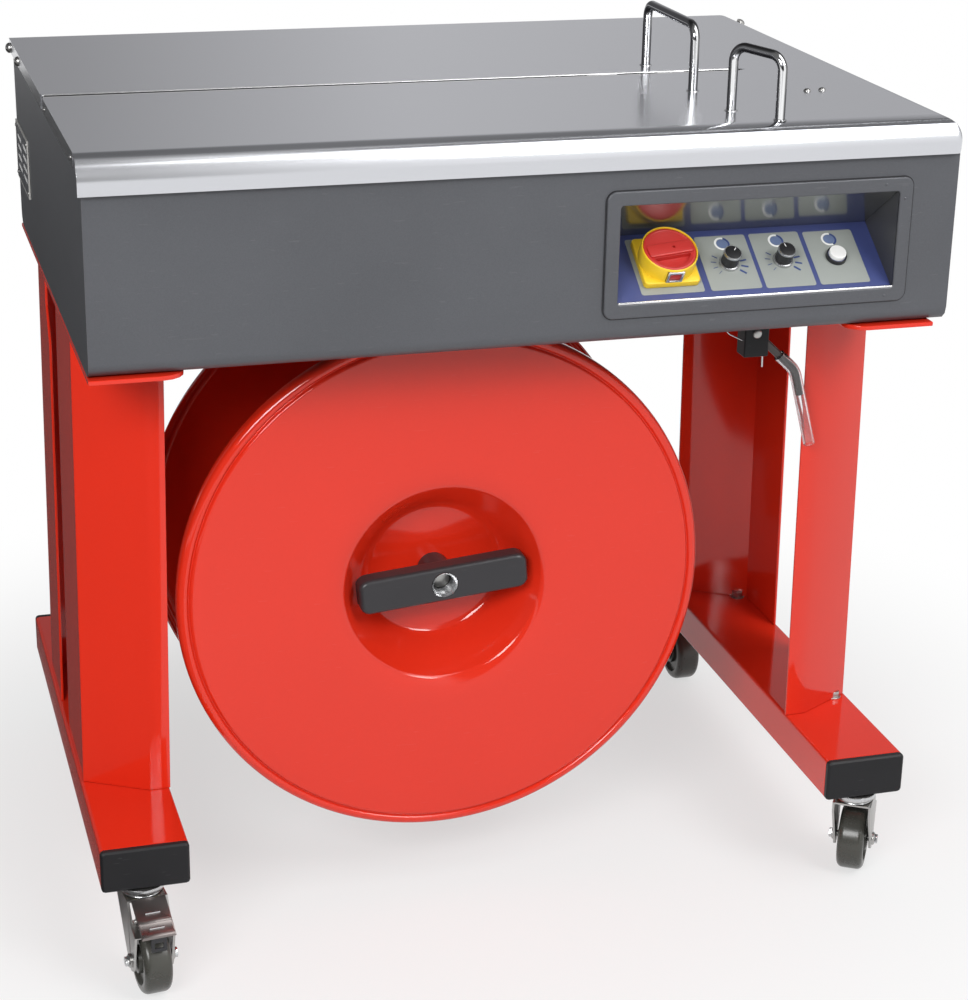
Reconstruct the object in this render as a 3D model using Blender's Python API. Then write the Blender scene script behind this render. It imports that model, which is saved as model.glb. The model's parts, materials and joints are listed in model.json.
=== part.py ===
"""Paper banding machine: table, housing, leg frame, casters, strap reel and drive.

Metres, +Z up, the front faces -Y. The origin is on the floor under the middle.
"""
import math

import bmesh
import bpy
from mathutils import Matrix, Vector

# Fits and cuts that all pieces share
GAP = 0.0003
RUNNING_GAP = 0.0005
OVERRUN = 0.004
SOFT_EDGE = 0.0012

# Frame: feet, legs and top rails
CASTER_HEIGHT = 0.1125
FOOT_HEIGHT = 0.0472
FOOT_WIDTH = 0.092
FOOT_LENGTH = 0.6018
FOOT_WALL = 0.003
FOOT_CORNER = 0.004
FOOT_SPAN = 0.8075
FRAME_SHIFT = 0.0045
CAP_THICKNESS = 0.008
CAP_PLUG = 0.003
CAP_LIP = 0.0022
LEG_HEIGHT = 0.5008
LEG_SHEET = 0.003
LEG_INNER = 0.3578
LEG_STRIP = 0.0237
LEG_OUTER = 0.4465
LEG_FRONT = 0.1853
LEG_SIDE = 0.148
LEG_FLANGE_FRONT = 0.020
LEG_FLANGE_REAR = 0.055
LEG_LEAN_LEFT = 0.0078
LEG_LEAN_RIGHT = 0.0067
LEG_LEAN_OUTER = 0.0080
LEG_NOTCH_DEPTH = 0.026
LEG_NOTCH_DROP = 0.031
LEG_NOTCH_SLOPE = 0.038
RAIL_THICKNESS = 0.005
RAIL_WIDTH = 0.0945
RAIL_SPAN = 0.8785
RAIL_SHIFT = 0.00525
RAIL_LENGTH = 0.610
RAIL_CORNER = 0.022

# Housing and its base plate
BASE_THICKNESS = 0.003
HOUSING_HEIGHT = 0.213
HOUSING_SIDE_INSET = 0.0038
HOUSING_FRONT = 0.3045
HOUSING_REAR = 0.3065
HOUSING_WALL = 0.002
HOUSING_RETURN = 0.018
HOUSING_ROLL = 0.015
HOUSING_LID_GAP = 0.0155
VENT_CENTRE_Y = 0.242
VENT_CENTRE_Z = 0.0875
VENT_LENGTH = 0.120
VENT_HEIGHT = 0.064
VENT_SHEET = 0.0015
VENT_MARGIN = 0.009
VENT_SLOT = 0.007
VENT_WEB = 0.008

# Lid: table plate with rolled edges, slot and loop handles
TABLE_WIDTH = 0.895
TABLE_FRONT = 0.3125
TABLE_REAR = 0.3075
TABLE_SHEET = 0.002
ROLL_RADIUS = 0.025
ROLL_DROP = 0.037
ROLL_RETURN = 0.0008
TABLE_CORNER = 0.008
SIDE_FLANGE = 0.015
SLOT_SETBACK = 0.028
SLOT_WIDTH = 0.020
SLOT_REACH = 0.305
SLOT_TIP = 0.0166
TRACK_GROOVE = 0.008
TRACK_SINK = 0.0012
TRACK_DEPTH = 0.012
TRACK_FLANGE = 0.006
HINGE_REAR = 0.0075
HINGE_DROP = 0.010
HINGE_ROD = 0.006
HINGE_DOME = 0.012
HINGE_DOME_LEFT = 0.005
HINGE_DOME_RIGHT = 0.00813
EAR_SHEET = 0.003
EAR_INSET = 0.0275
EAR_DEPTH = 0.020
EAR_DROP = 0.032
EAR_MARGIN = 0.0005
BAR_DIAMETER = 0.010
BAR_HEIGHT = 0.073
BAR_BEND = 0.015
REAR_BAR_X = 0.2205
REAR_BAR_FRONT = -0.131
REAR_BAR_BACK = 0.0147
FRONT_BAR_BACK_X = 0.2222
FRONT_BAR_BACK_Y = -0.2326
FRONT_BAR_FRONT_X = 0.2480
FRONT_BAR_FRONT_Y = -0.2855
FRONT_BAR_DIP = 0.004

# Control recess on the front
BEZEL_SIDE_MARGIN = 0.0505
BEZEL_WIDTH = 0.329
BEZEL_BOTTOM = 0.0235
BEZEL_HEIGHT = 0.130
BEZEL_BORDER = 0.0145
BEZEL_SHEET = 0.003
BEZEL_WALL = 0.0016
BEZEL_CORNER = 0.010
RECESS_DEPTH = 0.075
PANEL_RISE = 0.051
PANEL_SHEET = 0.002
CONTROL_ROW = 0.043
SWITCH_INSET = 0.078
SWITCH_ROW = 0.047
SWITCH_BASE = 0.060
SWITCH_BASE_HEIGHT = 0.007
SWITCH_COLLAR = 0.056
SWITCH_COLLAR_HEIGHT = 0.006
SWITCH_KNOB = 0.050
SWITCH_KNOB_HEIGHT = 0.012
TIMER_INSET = 0.147
TENSION_INSET = 0.2065
BUTTON_INSET = 0.266
KNOB_DIAMETER = 0.017
KNOB_HEIGHT = 0.019
KNOB_SKIRT = 0.021
KNOB_SKIRT_HEIGHT = 0.0035
SPINDLE = 0.006
SPINDLE_LENGTH = 0.010
BUTTON_DIAMETER = 0.0155
BUTTON_COLLAR = 0.020
BUTTON_COLLAR_HEIGHT = 0.005
BUTTON_PROUD = 0.0042
BUTTON_TRAVEL = 0.003

# Casters and their brake pedals
WHEEL_DIAMETER = 0.075
WHEEL_WIDTH = 0.030
WHEEL_TREAD_EDGE = 0.007
WHEEL_HUB = 0.030
WHEEL_HUB_WIDTH = 0.0334
WHEEL_RECESS = 0.004
WHEEL_RIM = 0.052
AXLE_DIAMETER = 0.008
AXLE_HEAD = 0.015
AXLE_HEAD_HEIGHT = 0.003
STEM_SETBACK = 0.290
STEM_SHIFT = 0.0025
STEM_DIAMETER = 0.010
STEM_HEAD = 0.0142
STEM_HEAD_HEIGHT = 0.004
SWIVEL_RING = 0.046
SWIVEL_RING_HEIGHT = 0.007
SWIVEL_CUP = 0.036
TRAIL = 0.029
FORK_SHEET = 0.0025
FORK_CLEARANCE = 0.0035
FORK_SIDE_CLEARANCE = 0.004
FORK_FRONT = 0.022
FORK_SKIRT_DROP = 0.012
FORK_CROWN_DROP = 0.009
FORK_CROWN_BACK = 0.0225
FORK_ARCH_TURNS = (100, 90, 80, 70, 60)
FORK_LOBE = 0.012
PEDAL_WIDTH = 0.036
PEDAL_SHEET = 0.002
PEDAL_BACK = 0.026
PEDAL_LENGTH = 0.042
PEDAL_TOP = 0.0065
PEDAL_FALL = 0.022
PEDAL_PIN = 0.005
PEDAL_PIN_Y = 0.038
PEDAL_PIN_RISE = 0.007
PEDAL_EAR_INSET = 0.002
LUG_WIDTH = 0.012
LUG_LENGTH = 0.009

# Strap reel under the housing
REEL_X = -0.059
REEL_DROP = 0.298
REEL_FRONT = 0.190
REEL_WIDTH = 0.235
FLANGE_RADIUS = 0.2904
FLANGE_SHEET = 0.002
RIM_DEPTH = 0.016
RIM_BEND = 0.022
DISH_RADIUS = 0.133
DISH_SHOULDER = 0.025
DISH_SHOULDER_DROP = 0.015
DISH_SHOULDER_TURNS = (20, 40, 55, 68)
DISH_DEPTH = 0.055
DISH_FLOOR = 0.070
DISH_FILLET = 0.010
DISH_FILLET_RISE = 0.006
CORE_DIAMETER = 0.056
REEL_AXLE = 0.020
AXLE_COLLAR = 0.034
AXLE_COLLAR_LENGTH = 0.012
BRACKET_WIDTH = 0.120
BRACKET_SHEET = 0.004
BRACKET_SETBACK = 0.076
BRACKET_DROP = 0.040
BRACKET_FLANGE = 0.040
HANDLE_LENGTH = 0.187
HANDLE_HEIGHT = 0.040
HANDLE_BOW = 0.0024
HANDLE_DEPTH = 0.036
HANDLE_FACE = -0.002
HANDLE_BEVEL = 0.005
HANDLE_BACK_BEVEL = 0.012
HANDLE_TILT = 5.3
HANDLE_STEM = 0.035
HANDLE_BORE = 0.021

# Reel brake lever under the housing
LEVER_RAIL_GAP = 0.0485
LEVER_BLOCK = 0.028
LEVER_BLOCK_DEPTH = 0.022
LEVER_Y = -0.200
LEVER_PIVOT_DROP = 0.031
LEVER_BLOCK_HEIGHT = 0.057
LEVER_ROD = 0.008
LEVER_HUB = 0.018
LEVER_SLOPE_X = 0.051
LEVER_SLOPE_Z = 0.048
LEVER_DOWN_X = 0.022
LEVER_DOWN_Z = 0.082
LEVER_BEND = 0.014
SLEEVE_DIAMETER = 0.013
SLEEVE_START = 0.012
SLEEVE_OVERHANG = 0.004

# Drive inside the housing
MOTOR_X = -0.020
MOTOR_DIAMETER = 0.105
MOTOR_LENGTH = 0.150
MOTOR_FRONT = 0.045
MOTOR_LIFT = 0.008
MOTOR_FOOT_WIDTH = 0.110
PULLEY_WIDTH = 0.012
PULLEY_SMALL = 0.040
PULLEY_LARGE = 0.080
PULLEY_SHAFT = 0.012
PULLEY_SHAFT_REACH = 0.020
PULLEY_STANDOFF = 0.006
BELT_THICKNESS = 0.003
BELT_WIDTH = 0.010
GEARBOX_X = 0.190
GEARBOX_WIDTH = 0.120
GEARBOX_DEPTH = 0.090
GEARBOX_HEIGHT = 0.125
GEARBOX_SHAFT_RISE = 0.085
CAM_SHAFT = 0.016
CAM_RISE = 0.060
CAM_SOCKET = 0.014
CAM_DIAMETER = 0.044
CAM_THROW = 0.005
CAM_WIDTH = 0.010
CAM_PITCH = 0.020
HEAD_WIDTH = 0.120
HEAD_FRONT = 0.100
HEAD_BACK = 0.045
HEAD_LID_GAP = 0.003
HEAD_SHOULDER = 0.070
HEAD_NECK_MARGIN = 0.030
TONGUE_WIDTH = 0.0060
TONGUE_SINK = 0.003
TONGUE_DIP = 0.004
TONGUE_LEFT = 0.035
TONGUE_RIGHT = 0.0315
ROLLER_X = 0.088
FEED_ROLLER = 0.050
PINCH_ROLLER = 0.030
ROLLER_WIDTH = 0.022
ROLLER_SHAFT = 0.008
ROLLER_STRAP_GAP = 0.0006
ROLLER_LIFT = 0.060
ROLLER_SETBACK = 0.040
ROLLER_PLATE_SHEET = 0.005
ROLLER_PLATE_WIDTH = 0.064
ROLLER_PLATE_HEIGHT = 0.175
ROLLER_PLATE_FOOT = 0.030
WALL_CLEARANCE = 0.0537
TRANSFORMER_Y = 0.150
TRANSFORMER_WIDTH = 0.080
TRANSFORMER_DEPTH = 0.046
TRANSFORMER_HEIGHT = 0.070
COIL_DEPTH = 0.074
COIL_WIDTH = 0.044
COIL_HEIGHT = 0.046
BOX_Y = -0.150
BOX_WIDTH = 0.180
BOX_DEPTH = 0.150
BOX_HEIGHT = 0.080
INLET_RISE = 0.050
INLET_WIDTH = 0.050
INLET_HEIGHT = 0.032
INLET_FLANGE = 0.005
INLET_PROUD = 0.003
INLET_BODY = 0.024
INLET_SOCKET = 0.014
INLET_BORDER = 0.006

# Heights that follow from the stack
FOOT_TOP = CASTER_HEIGHT + FOOT_HEIGHT
RAIL_BOTTOM = FOOT_TOP + LEG_HEIGHT
BASE_BOTTOM = RAIL_BOTTOM + RAIL_THICKNESS
BASE_TOP = BASE_BOTTOM + BASE_THICKNESS
TABLE_TOP = BASE_TOP + HOUSING_HEIGHT
TABLE_UNDER = TABLE_TOP - TABLE_SHEET
TABLE_LEFT = -TABLE_WIDTH / 2
TABLE_RIGHT = TABLE_WIDTH / 2
HINGE_Y = TABLE_REAR - HINGE_REAR
HINGE_Z = TABLE_TOP - HINGE_DROP
REEL_Z = BASE_BOTTOM - REEL_DROP
WHEEL_RADIUS = WHEEL_DIAMETER / 2

# Places across that follow from the table, the housing and the rails
HOUSING_LEFT = TABLE_WIDTH / 2 - HOUSING_SIDE_INSET
HOUSING_RIGHT = TABLE_WIDTH / 2
BEZEL_LEFT = HOUSING_RIGHT - BEZEL_SIDE_MARGIN - BEZEL_WIDTH
SWITCH_X = BEZEL_LEFT + SWITCH_INSET
TIMER_X = BEZEL_LEFT + TIMER_INSET
TENSION_X = BEZEL_LEFT + TENSION_INSET
BUTTON_X = BEZEL_LEFT + BUTTON_INSET
BOX_X = -HOUSING_LEFT + WALL_CLEARANCE + BOX_WIDTH / 2
TRANSFORMER_X = BOX_X
INLET_X = BOX_X
LEVER_X = RAIL_SPAN / 2 - RAIL_SHIFT - RAIL_WIDTH - LEVER_RAIL_GAP - LEVER_BLOCK / 2

ROUND_STEPS = 20
REEL_STEPS = 36
WHEEL_STEPS = 24

COLOURS = {
    "charcoal": ((0.092, 0.097, 0.107), 0.42, 0.35),
    "red": ((0.745, 0.052, 0.026), 0.22, 0.0),
    "steel": ((0.42, 0.43, 0.45), 0.32, 1.0),
    "zinc": ((0.56, 0.57, 0.58), 0.35, 1.0),
    "black": ((0.014, 0.014, 0.016), 0.42, 0.0),
    "gloss black": ((0.010, 0.010, 0.012), 0.16, 0.0),
    "blue": ((0.055, 0.130, 0.330), 0.40, 0.0),
    "yellow": ((0.800, 0.560, 0.030), 0.40, 0.0),
    "switch red": ((0.620, 0.030, 0.025), 0.35, 0.0),
    "white": ((0.720, 0.720, 0.700), 0.40, 0.0),
    "clear": ((0.600, 0.580, 0.500), 0.25, 0.0),
    "rubber": ((0.030, 0.031, 0.033), 0.38, 0.0),
    "grey": ((0.235, 0.250, 0.270), 0.50, 0.0),
    "copper": ((0.480, 0.200, 0.090), 0.40, 0.6),
}


def clear_scene():
    """Remove every object that the open file holds."""
    for item in list(bpy.data.objects):
        bpy.data.objects.remove(item)


def principled(name, key):
    """Return a material with one Principled BSDF in a named colour."""
    colour, roughness, metallic = COLOURS[key]
    material = bpy.data.materials.new(name)
    material.use_nodes = True
    shader = material.node_tree.nodes["Principled BSDF"]
    shader.inputs["Base Color"].default_value = (*colour, 1.0)
    shader.inputs["Roughness"].default_value = roughness
    shader.inputs["Metallic"].default_value = metallic
    material.diffuse_color = (*colour, 1.0)
    return material


def seat(point, axis, level):
    """Place a flat point at a level along the axis that its plane faces."""
    if axis == "X":
        return Vector((level, point[0], point[1]))
    if axis == "Y":
        return Vector((point[0], level, point[1]))
    return Vector((point[0], point[1], level))


def stack(rings, closed=False):
    """Join rings of points, each with the same count, into one closed body."""
    mesh = bmesh.new()
    loops = [[mesh.verts.new(point) for point in ring] for ring in rings]
    count = len(loops[0])
    pairs = list(zip(loops, loops[1:]))
    if closed:
        pairs.append((loops[-1], loops[0]))
    for lower, upper in pairs:
        for index in range(count):
            after = (index + 1) % count
            mesh.faces.new((lower[index], lower[after], upper[after], upper[index]))
    if not closed:
        mesh.faces.new(loops[0])
        mesh.faces.new(loops[-1])
    bmesh.ops.recalc_face_normals(mesh, faces=mesh.faces)
    return mesh


def prism(points, axis, low, high):
    """Return a prism over an outline, between two levels along an axis."""
    return stack([[seat(point, axis, level) for point in points] for level in (low, high)])


def hollow_prism(outer, inner, axis, low, high):
    """Return a prism with a bore; both outlines have the same count of points."""
    rings = []
    for outline, level in ((outer, low), (outer, high), (inner, high), (inner, low)):
        rings.append([seat(point, axis, level) for point in outline])
    return stack(rings, closed=True)


def block(low, high):
    """Return a box between two corners."""
    outline = rectangle(low[0], low[1], high[0], high[1])
    return prism(outline, "Z", low[2], high[2])


def rectangle(left, bottom, right, top):
    """Return the four corners of a rectangle."""
    return [(left, bottom), (right, bottom), (right, top), (left, top)]


def rounded(left, bottom, right, top, radius, steps=3):
    """Return a rectangle's outline with round corners."""
    centres = ((right - radius, top - radius, 0), (left + radius, top - radius, 1),
               (left + radius, bottom + radius, 2), (right - radius, bottom + radius, 3))
    points = []
    for across, up, quarter in centres:
        for step in range(steps + 1):
            angle = math.radians(90 * (quarter + step / steps))
            points.append((across + radius * math.cos(angle), up + radius * math.sin(angle)))
    return points


def circle(across, up, radius, steps=ROUND_STEPS):
    """Return a circle's outline."""
    turns = [2 * math.pi * step / steps for step in range(steps)]
    return [(across + radius * math.cos(turn), up + radius * math.sin(turn)) for turn in turns]


def turned(profile, axis, centre, steps=ROUND_STEPS):
    """Turn a closed profile of (radius, along) points round an axis through a point."""
    mesh = bmesh.new()
    rings = []
    for radius, along in profile:
        if radius == 0:
            spot = mesh.verts.new(seat((0, 0), axis, along))
            rings.append([spot] * steps)
        else:
            spots = circle(0, 0, radius, steps)
            rings.append([mesh.verts.new(seat(spot, axis, along)) for spot in spots])
    for index, ring in enumerate(rings):
        after = rings[(index + 1) % len(rings)]
        for step in range(steps):
            turn = (step + 1) % steps
            corners = list(dict.fromkeys((ring[step], ring[turn], after[turn], after[step])))
            if len(corners) > 2:
                mesh.faces.new(corners)
    bmesh.ops.recalc_face_normals(mesh, faces=mesh.faces)
    bmesh.ops.translate(mesh, verts=mesh.verts, vec=centre)
    return mesh


def bent_path(points, radius, steps=4):
    """Return a path through points with each inner corner bent to a radius."""
    path = [Vector(points[0])]
    for before, corner, after in zip(points, points[1:], points[2:]):
        corner = Vector(corner)
        back = (Vector(before) - corner).normalized()
        ahead = (Vector(after) - corner).normalized()
        half = back.angle(ahead) / 2
        reach = radius / math.tan(half)
        centre = corner + (back + ahead).normalized() * radius / math.sin(half)
        start = corner + back * reach - centre
        end = corner + ahead * reach - centre
        sweep_angle = start.angle(end)
        for step in range(steps + 1):
            share = step / steps
            weight = math.sin((1 - share) * sweep_angle) / math.sin(sweep_angle)
            other = math.sin(share * sweep_angle) / math.sin(sweep_angle)
            path.append(centre + start * weight + end * other)
    path.append(Vector(points[-1]))
    return path


def swept(path, radius, sides=12, bore=0):
    """Sweep a round section along a path; a bore makes it a sleeve."""
    frames = []
    guide = None
    for index, point in enumerate(path):
        before = path[max(index - 1, 0)]
        after = path[min(index + 1, len(path) - 1)]
        tangent = (after - before).normalized()
        if guide is None:
            guide = tangent.orthogonal().normalized()
        guide = (guide - tangent * guide.dot(tangent)).normalized()
        frames.append((point, guide, tangent.cross(guide)))

    def section(frame, size):
        middle, right, up = frame
        return [middle + right * across + up * rise for across, rise in circle(0, 0, size, sides)]

    rings = [section(frame, radius) for frame in frames]
    if not bore:
        return stack(rings)
    rings += [section(frame, bore) for frame in reversed(frames)]
    return stack(rings, closed=True)


def strip_outline(points, thickness):
    """Return the outline of a bent strip that lies on the right of a path."""
    inner = []
    count = len(points)
    for index in range(count):
        normals = []
        for start, end in ((index - 1, index), (index, index + 1)):
            if start < 0 or end >= count:
                continue
            along = Vector((points[end][0] - points[start][0], points[end][1] - points[start][1]))
            along.normalize()
            normals.append(Vector((along.y, -along.x)))
        normal = sum(normals, Vector((0, 0))).normalized()
        offset = normal * thickness / normal.dot(normals[0])
        inner.append((points[index][0] + offset.x, points[index][1] + offset.y))
    return list(points) + inner[::-1]


def boolean(mesh, other, operation):
    """Return one mesh united with another, or cut by it, with the exact solver."""
    base = bpy.data.objects.new("base", bpy.data.meshes.new("base"))
    tool = bpy.data.objects.new("tool", bpy.data.meshes.new("tool"))
    for item, source in ((base, mesh), (tool, other)):
        source.to_mesh(item.data)
        source.free()
        bpy.context.scene.collection.objects.link(item)
    modifier = base.modifiers.new("combine", "BOOLEAN")
    modifier.operation = operation
    modifier.solver = "EXACT"
    modifier.object = tool
    bpy.context.view_layer.update()
    result = bmesh.new()
    result.from_object(base, bpy.context.evaluated_depsgraph_get())
    for item in (base, tool):
        data = item.data
        bpy.data.objects.remove(item)
        bpy.data.meshes.remove(data)
    bmesh.ops.remove_doubles(result, verts=result.verts, dist=GAP / 100)
    return result


def united(*meshes):
    """Return meshes that overlap as one body."""
    result = meshes[0]
    for mesh in meshes[1:]:
        result = boolean(result, mesh, "UNION")
    return result


def cut(mesh, *cutters):
    """Return a mesh less each of the cutters."""
    for cutter in cutters:
        mesh = boolean(mesh, cutter, "DIFFERENCE")
    return mesh


def drum(axis, centre, radius, low, high, steps=ROUND_STEPS):
    """Return a plain cylinder along an axis between two levels."""
    across = {"X": (centre[1], centre[2]), "Y": (centre[0], centre[2]), "Z": (centre[0], centre[1])}
    return prism(circle(*across[axis], radius, steps), axis, low, high)


def softened(mesh, width=SOFT_EDGE):
    """Bevel the sharp edges of a plain block."""
    edges = [edge for edge in mesh.edges if edge.calc_face_angle(0) > math.radians(40)]
    bmesh.ops.bevel(mesh, geom=edges, offset=width, segments=1, affect="EDGES", profile=0.5)
    return mesh


def add_piece(name, mesh, key, origin=(0, 0, 0), smooth=False):
    """Make one named object from a mesh, with its origin at a point."""
    bmesh.ops.translate(mesh, verts=mesh.verts, vec=-Vector(origin))
    data = bpy.data.meshes.new(name)
    mesh.to_mesh(data)
    mesh.free()
    if smooth:
        data.shade_smooth()
        data.set_sharp_from_angle(angle=math.radians(35))
    piece = bpy.data.objects.new(name, data)
    piece.location = origin
    data.materials.append(principled(name, key))
    bpy.context.scene.collection.objects.link(piece)
    return piece


def foot_centre(side):
    """Return the middle of a foot tube across the machine; side is -1 or 1."""
    return side * FOOT_SPAN / 2 - FRAME_SHIFT


def make_feet():
    """Make the two foot tubes with holes for the caster stems."""
    for side, word in ((-1, "left"), (1, "right")):
        middle = foot_centre(side)
        half = FOOT_WIDTH / 2
        outer = rounded(middle - half, CASTER_HEIGHT, middle + half, FOOT_TOP, FOOT_CORNER, 2)
        inner = rounded(middle - half + FOOT_WALL, CASTER_HEIGHT + FOOT_WALL,
                        middle + half - FOOT_WALL, FOOT_TOP - FOOT_WALL,
                        FOOT_CORNER - FOOT_WALL / 2, 2)
        tube = hollow_prism(outer, inner, "Y", -FOOT_LENGTH / 2, FOOT_LENGTH / 2)
        holes = []
        for end in (-1, 1):
            spot = (middle - STEM_SHIFT, end * STEM_SETBACK, 0)
            holes.append(drum("Z", spot, STEM_DIAMETER / 2 + RUNNING_GAP,
                              CASTER_HEIGHT - OVERRUN, CASTER_HEIGHT + FOOT_WALL + OVERRUN, 16))
        add_piece("foot_" + word, cut(tube, *holes), "red")


def make_foot_caps():
    """Make the plastic plug with a bevelled face at each end of the feet."""
    half = FOOT_WIDTH / 2
    fit = FOOT_WALL + GAP
    for side, hand in ((-1, "l"), (1, "r")):
        middle = foot_centre(side)
        for end, place in ((-1, "f"), (1, "r")):
            tube_end = FOOT_LENGTH / 2
            outer = (middle - half, CASTER_HEIGHT, middle + half, FOOT_TOP)
            stations = ((fit, tube_end - CAP_PLUG), (fit, tube_end + GAP), (0, tube_end + GAP),
                        (0, tube_end + CAP_THICKNESS - CAP_LIP),
                        (CAP_LIP, tube_end + CAP_THICKNESS))
            rings = []
            for inset, level in stations:
                radius = max(FOOT_CORNER - inset / 2, FOOT_CORNER - FOOT_WALL / 2)
                ring = rounded(outer[0] + inset, outer[1] + inset, outer[2] - inset,
                               outer[3] - inset, radius, 2)
                rings.append([seat(point, "Y", end * level) for point in ring])
            add_piece("foot_cap_" + place + hand, stack(rings), "black")


def leg_ring(side, end, flange_end, lean_in, lean_out, level):
    """Return one level of a bent leg, leaned in by two amounts."""
    path = [(LEG_INNER - lean_in, LEG_FRONT), (LEG_INNER + LEG_STRIP - lean_in, LEG_FRONT),
            (LEG_OUTER - lean_out, LEG_SIDE), (LEG_OUTER - lean_out, flange_end)]
    outline = strip_outline(path, LEG_SHEET)
    return [Vector((side * across - FRAME_SHIFT, end * along, level)) for across, along in outline]


def make_legs():
    """Make the four bent sheet legs between the feet and the top rails."""
    for side, word in ((-1, "left"), (1, "right")):
        lean = LEG_LEAN_LEFT if side < 0 else LEG_LEAN_RIGHT
        for end, place in ((-1, "front"), (1, "rear")):
            reach = LEG_FLANGE_FRONT if end < 0 else LEG_FLANGE_REAR
            low = leg_ring(side, end, reach, 0, 0, FOOT_TOP + GAP)
            high = leg_ring(side, end, reach, lean, LEG_LEAN_OUTER, RAIL_BOTTOM - GAP)
            leg = stack([low, high])
            if end > 0:
                edge = LEG_FLANGE_REAR + LEG_NOTCH_DEPTH
                drop = RAIL_BOTTOM - LEG_NOTCH_DROP
                notch = [(LEG_FLANGE_REAR - OVERRUN, RAIL_BOTTOM + OVERRUN),
                         (LEG_FLANGE_REAR - OVERRUN, drop - LEG_NOTCH_SLOPE),
                         (LEG_FLANGE_REAR, drop - LEG_NOTCH_SLOPE),
                         (edge, drop), (edge, RAIL_BOTTOM + OVERRUN)]
                start = side * (LEG_OUTER - LEG_LEAN_OUTER - LEG_SHEET - OVERRUN) - FRAME_SHIFT
                stop = side * (LEG_OUTER + OVERRUN) - FRAME_SHIFT
                leg = cut(leg, prism(notch, "X", start, stop))
            add_piece("leg_" + place + "_" + word, leg, "red")


def make_top_rails():
    """Make the two plates that join the legs to the base plate."""
    half = RAIL_LENGTH / 2
    for side, word in ((-1, "left"), (1, "right")):
        outer = RAIL_SPAN / 2
        inner = outer - RAIL_WIDTH
        turns = [math.radians(90 * step / 4) for step in range(5)]
        front = [(inner + RAIL_CORNER * (1 - math.sin(turn)),
                  -half + RAIL_CORNER * (1 - math.cos(turn))) for turn in turns]
        outline = [(outer, -half)] + front + [(inner, half), (outer, half)]
        points = [(side * across - RAIL_SHIFT, along) for across, along in outline]
        add_piece("top_rail_" + word, prism(points, "Z", RAIL_BOTTOM, BASE_BOTTOM - GAP), "red")


def make_base_plate():
    """Make the plate that carries the housing and the drive."""
    inset = HOUSING_WALL + HOUSING_RETURN + GAP
    low = (-HOUSING_LEFT + inset, -HOUSING_FRONT + inset, BASE_BOTTOM)
    high = (HOUSING_RIGHT - inset, HOUSING_REAR - inset, BASE_TOP)
    add_piece("base_plate", block(low, high), "charcoal")


def bezel_opening():
    """Return the recess opening as left, bottom, right and top."""
    bottom = BASE_TOP + BEZEL_BOTTOM
    return (BEZEL_LEFT + BEZEL_BORDER, bottom + BEZEL_BORDER,
            BEZEL_LEFT + BEZEL_WIDTH - BEZEL_BORDER, bottom + BEZEL_HEIGHT - BEZEL_BORDER)


def make_housing():
    """Make the folded shell: four walls, an inward return and two hinge ears."""
    wall = HOUSING_WALL
    low = BASE_BOTTOM
    top = TABLE_TOP - HOUSING_LID_GAP
    shell = rolled_block((-HOUSING_LEFT, -HOUSING_FRONT, low),
                         (HOUSING_RIGHT, HOUSING_REAR, top), HOUSING_ROLL)
    room = rolled_block((-HOUSING_LEFT + wall, -HOUSING_FRONT + wall, low + wall),
                        (HOUSING_RIGHT - wall, HOUSING_REAR - wall, top + OVERRUN),
                        HOUSING_ROLL - wall)
    rim = wall + HOUSING_RETURN
    well = block((-HOUSING_LEFT + rim, -HOUSING_FRONT + rim, low - OVERRUN),
                 (HOUSING_RIGHT - rim, HOUSING_REAR - rim, low + wall + OVERRUN))
    corner = block((TABLE_RIGHT - ROLL_RADIUS, -HOUSING_FRONT - OVERRUN,
                    TABLE_TOP - ROLL_DROP - GAP),
                   (HOUSING_RIGHT + OVERRUN, -TABLE_FRONT + ROLL_RADIUS, top + OVERRUN))
    right_top = block((HOUSING_RIGHT - wall - OVERRUN, -HOUSING_FRONT - OVERRUN,
                       TABLE_TOP - ROLL_DROP - GAP),
                      (HOUSING_RIGHT + OVERRUN, HOUSING_REAR + OVERRUN, top + OVERRUN))
    swing = math.hypot(HINGE_REAR, ROLL_DROP - HINGE_DROP)
    rear_corner = block((TABLE_RIGHT - ROLL_RADIUS, HINGE_Y - ROLL_RADIUS,
                         HINGE_Z - swing - GAP),
                        (HOUSING_RIGHT + OVERRUN, HOUSING_REAR + OVERRUN, top + OVERRUN))
    left, bottom, right, upper = bezel_opening()
    fit = BEZEL_WALL + GAP
    window = block((left - fit, -HOUSING_FRONT - OVERRUN, bottom - panel_sink() - fit),
                   (right + fit, -HOUSING_FRONT + wall + OVERRUN, upper + fit))
    vent = vent_frame(VENT_MARGIN)
    vent_hole = prism(vent, "X", -HOUSING_LEFT - OVERRUN, -HOUSING_LEFT + wall + OVERRUN)
    inlet = inlet_outline(GAP)
    inlet_hole = prism(inlet, "Y", HOUSING_REAR - wall - OVERRUN, HOUSING_REAR + OVERRUN)
    shell = cut(shell, room, well, right_top, corner, rear_corner, window, vent_hole, inlet_hole)
    for side in (-1, 1):
        shell = united(shell, hinge_ear(side))
    add_piece("housing_shell", shell, "charcoal")


def rolled_block(low, high, radius):
    """Return a box whose front and rear bottom edges are rolled to a radius."""
    mesh = block(low, high)
    lowest = min(vert.co.z for vert in mesh.verts)
    edges = [edge for edge in mesh.edges
             if all(vert.co.z == lowest for vert in edge.verts)
             and edge.verts[0].co.y == edge.verts[1].co.y]
    bmesh.ops.bevel(mesh, geom=edges, offset=radius, segments=3, affect="EDGES", profile=0.5)
    return mesh


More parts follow.
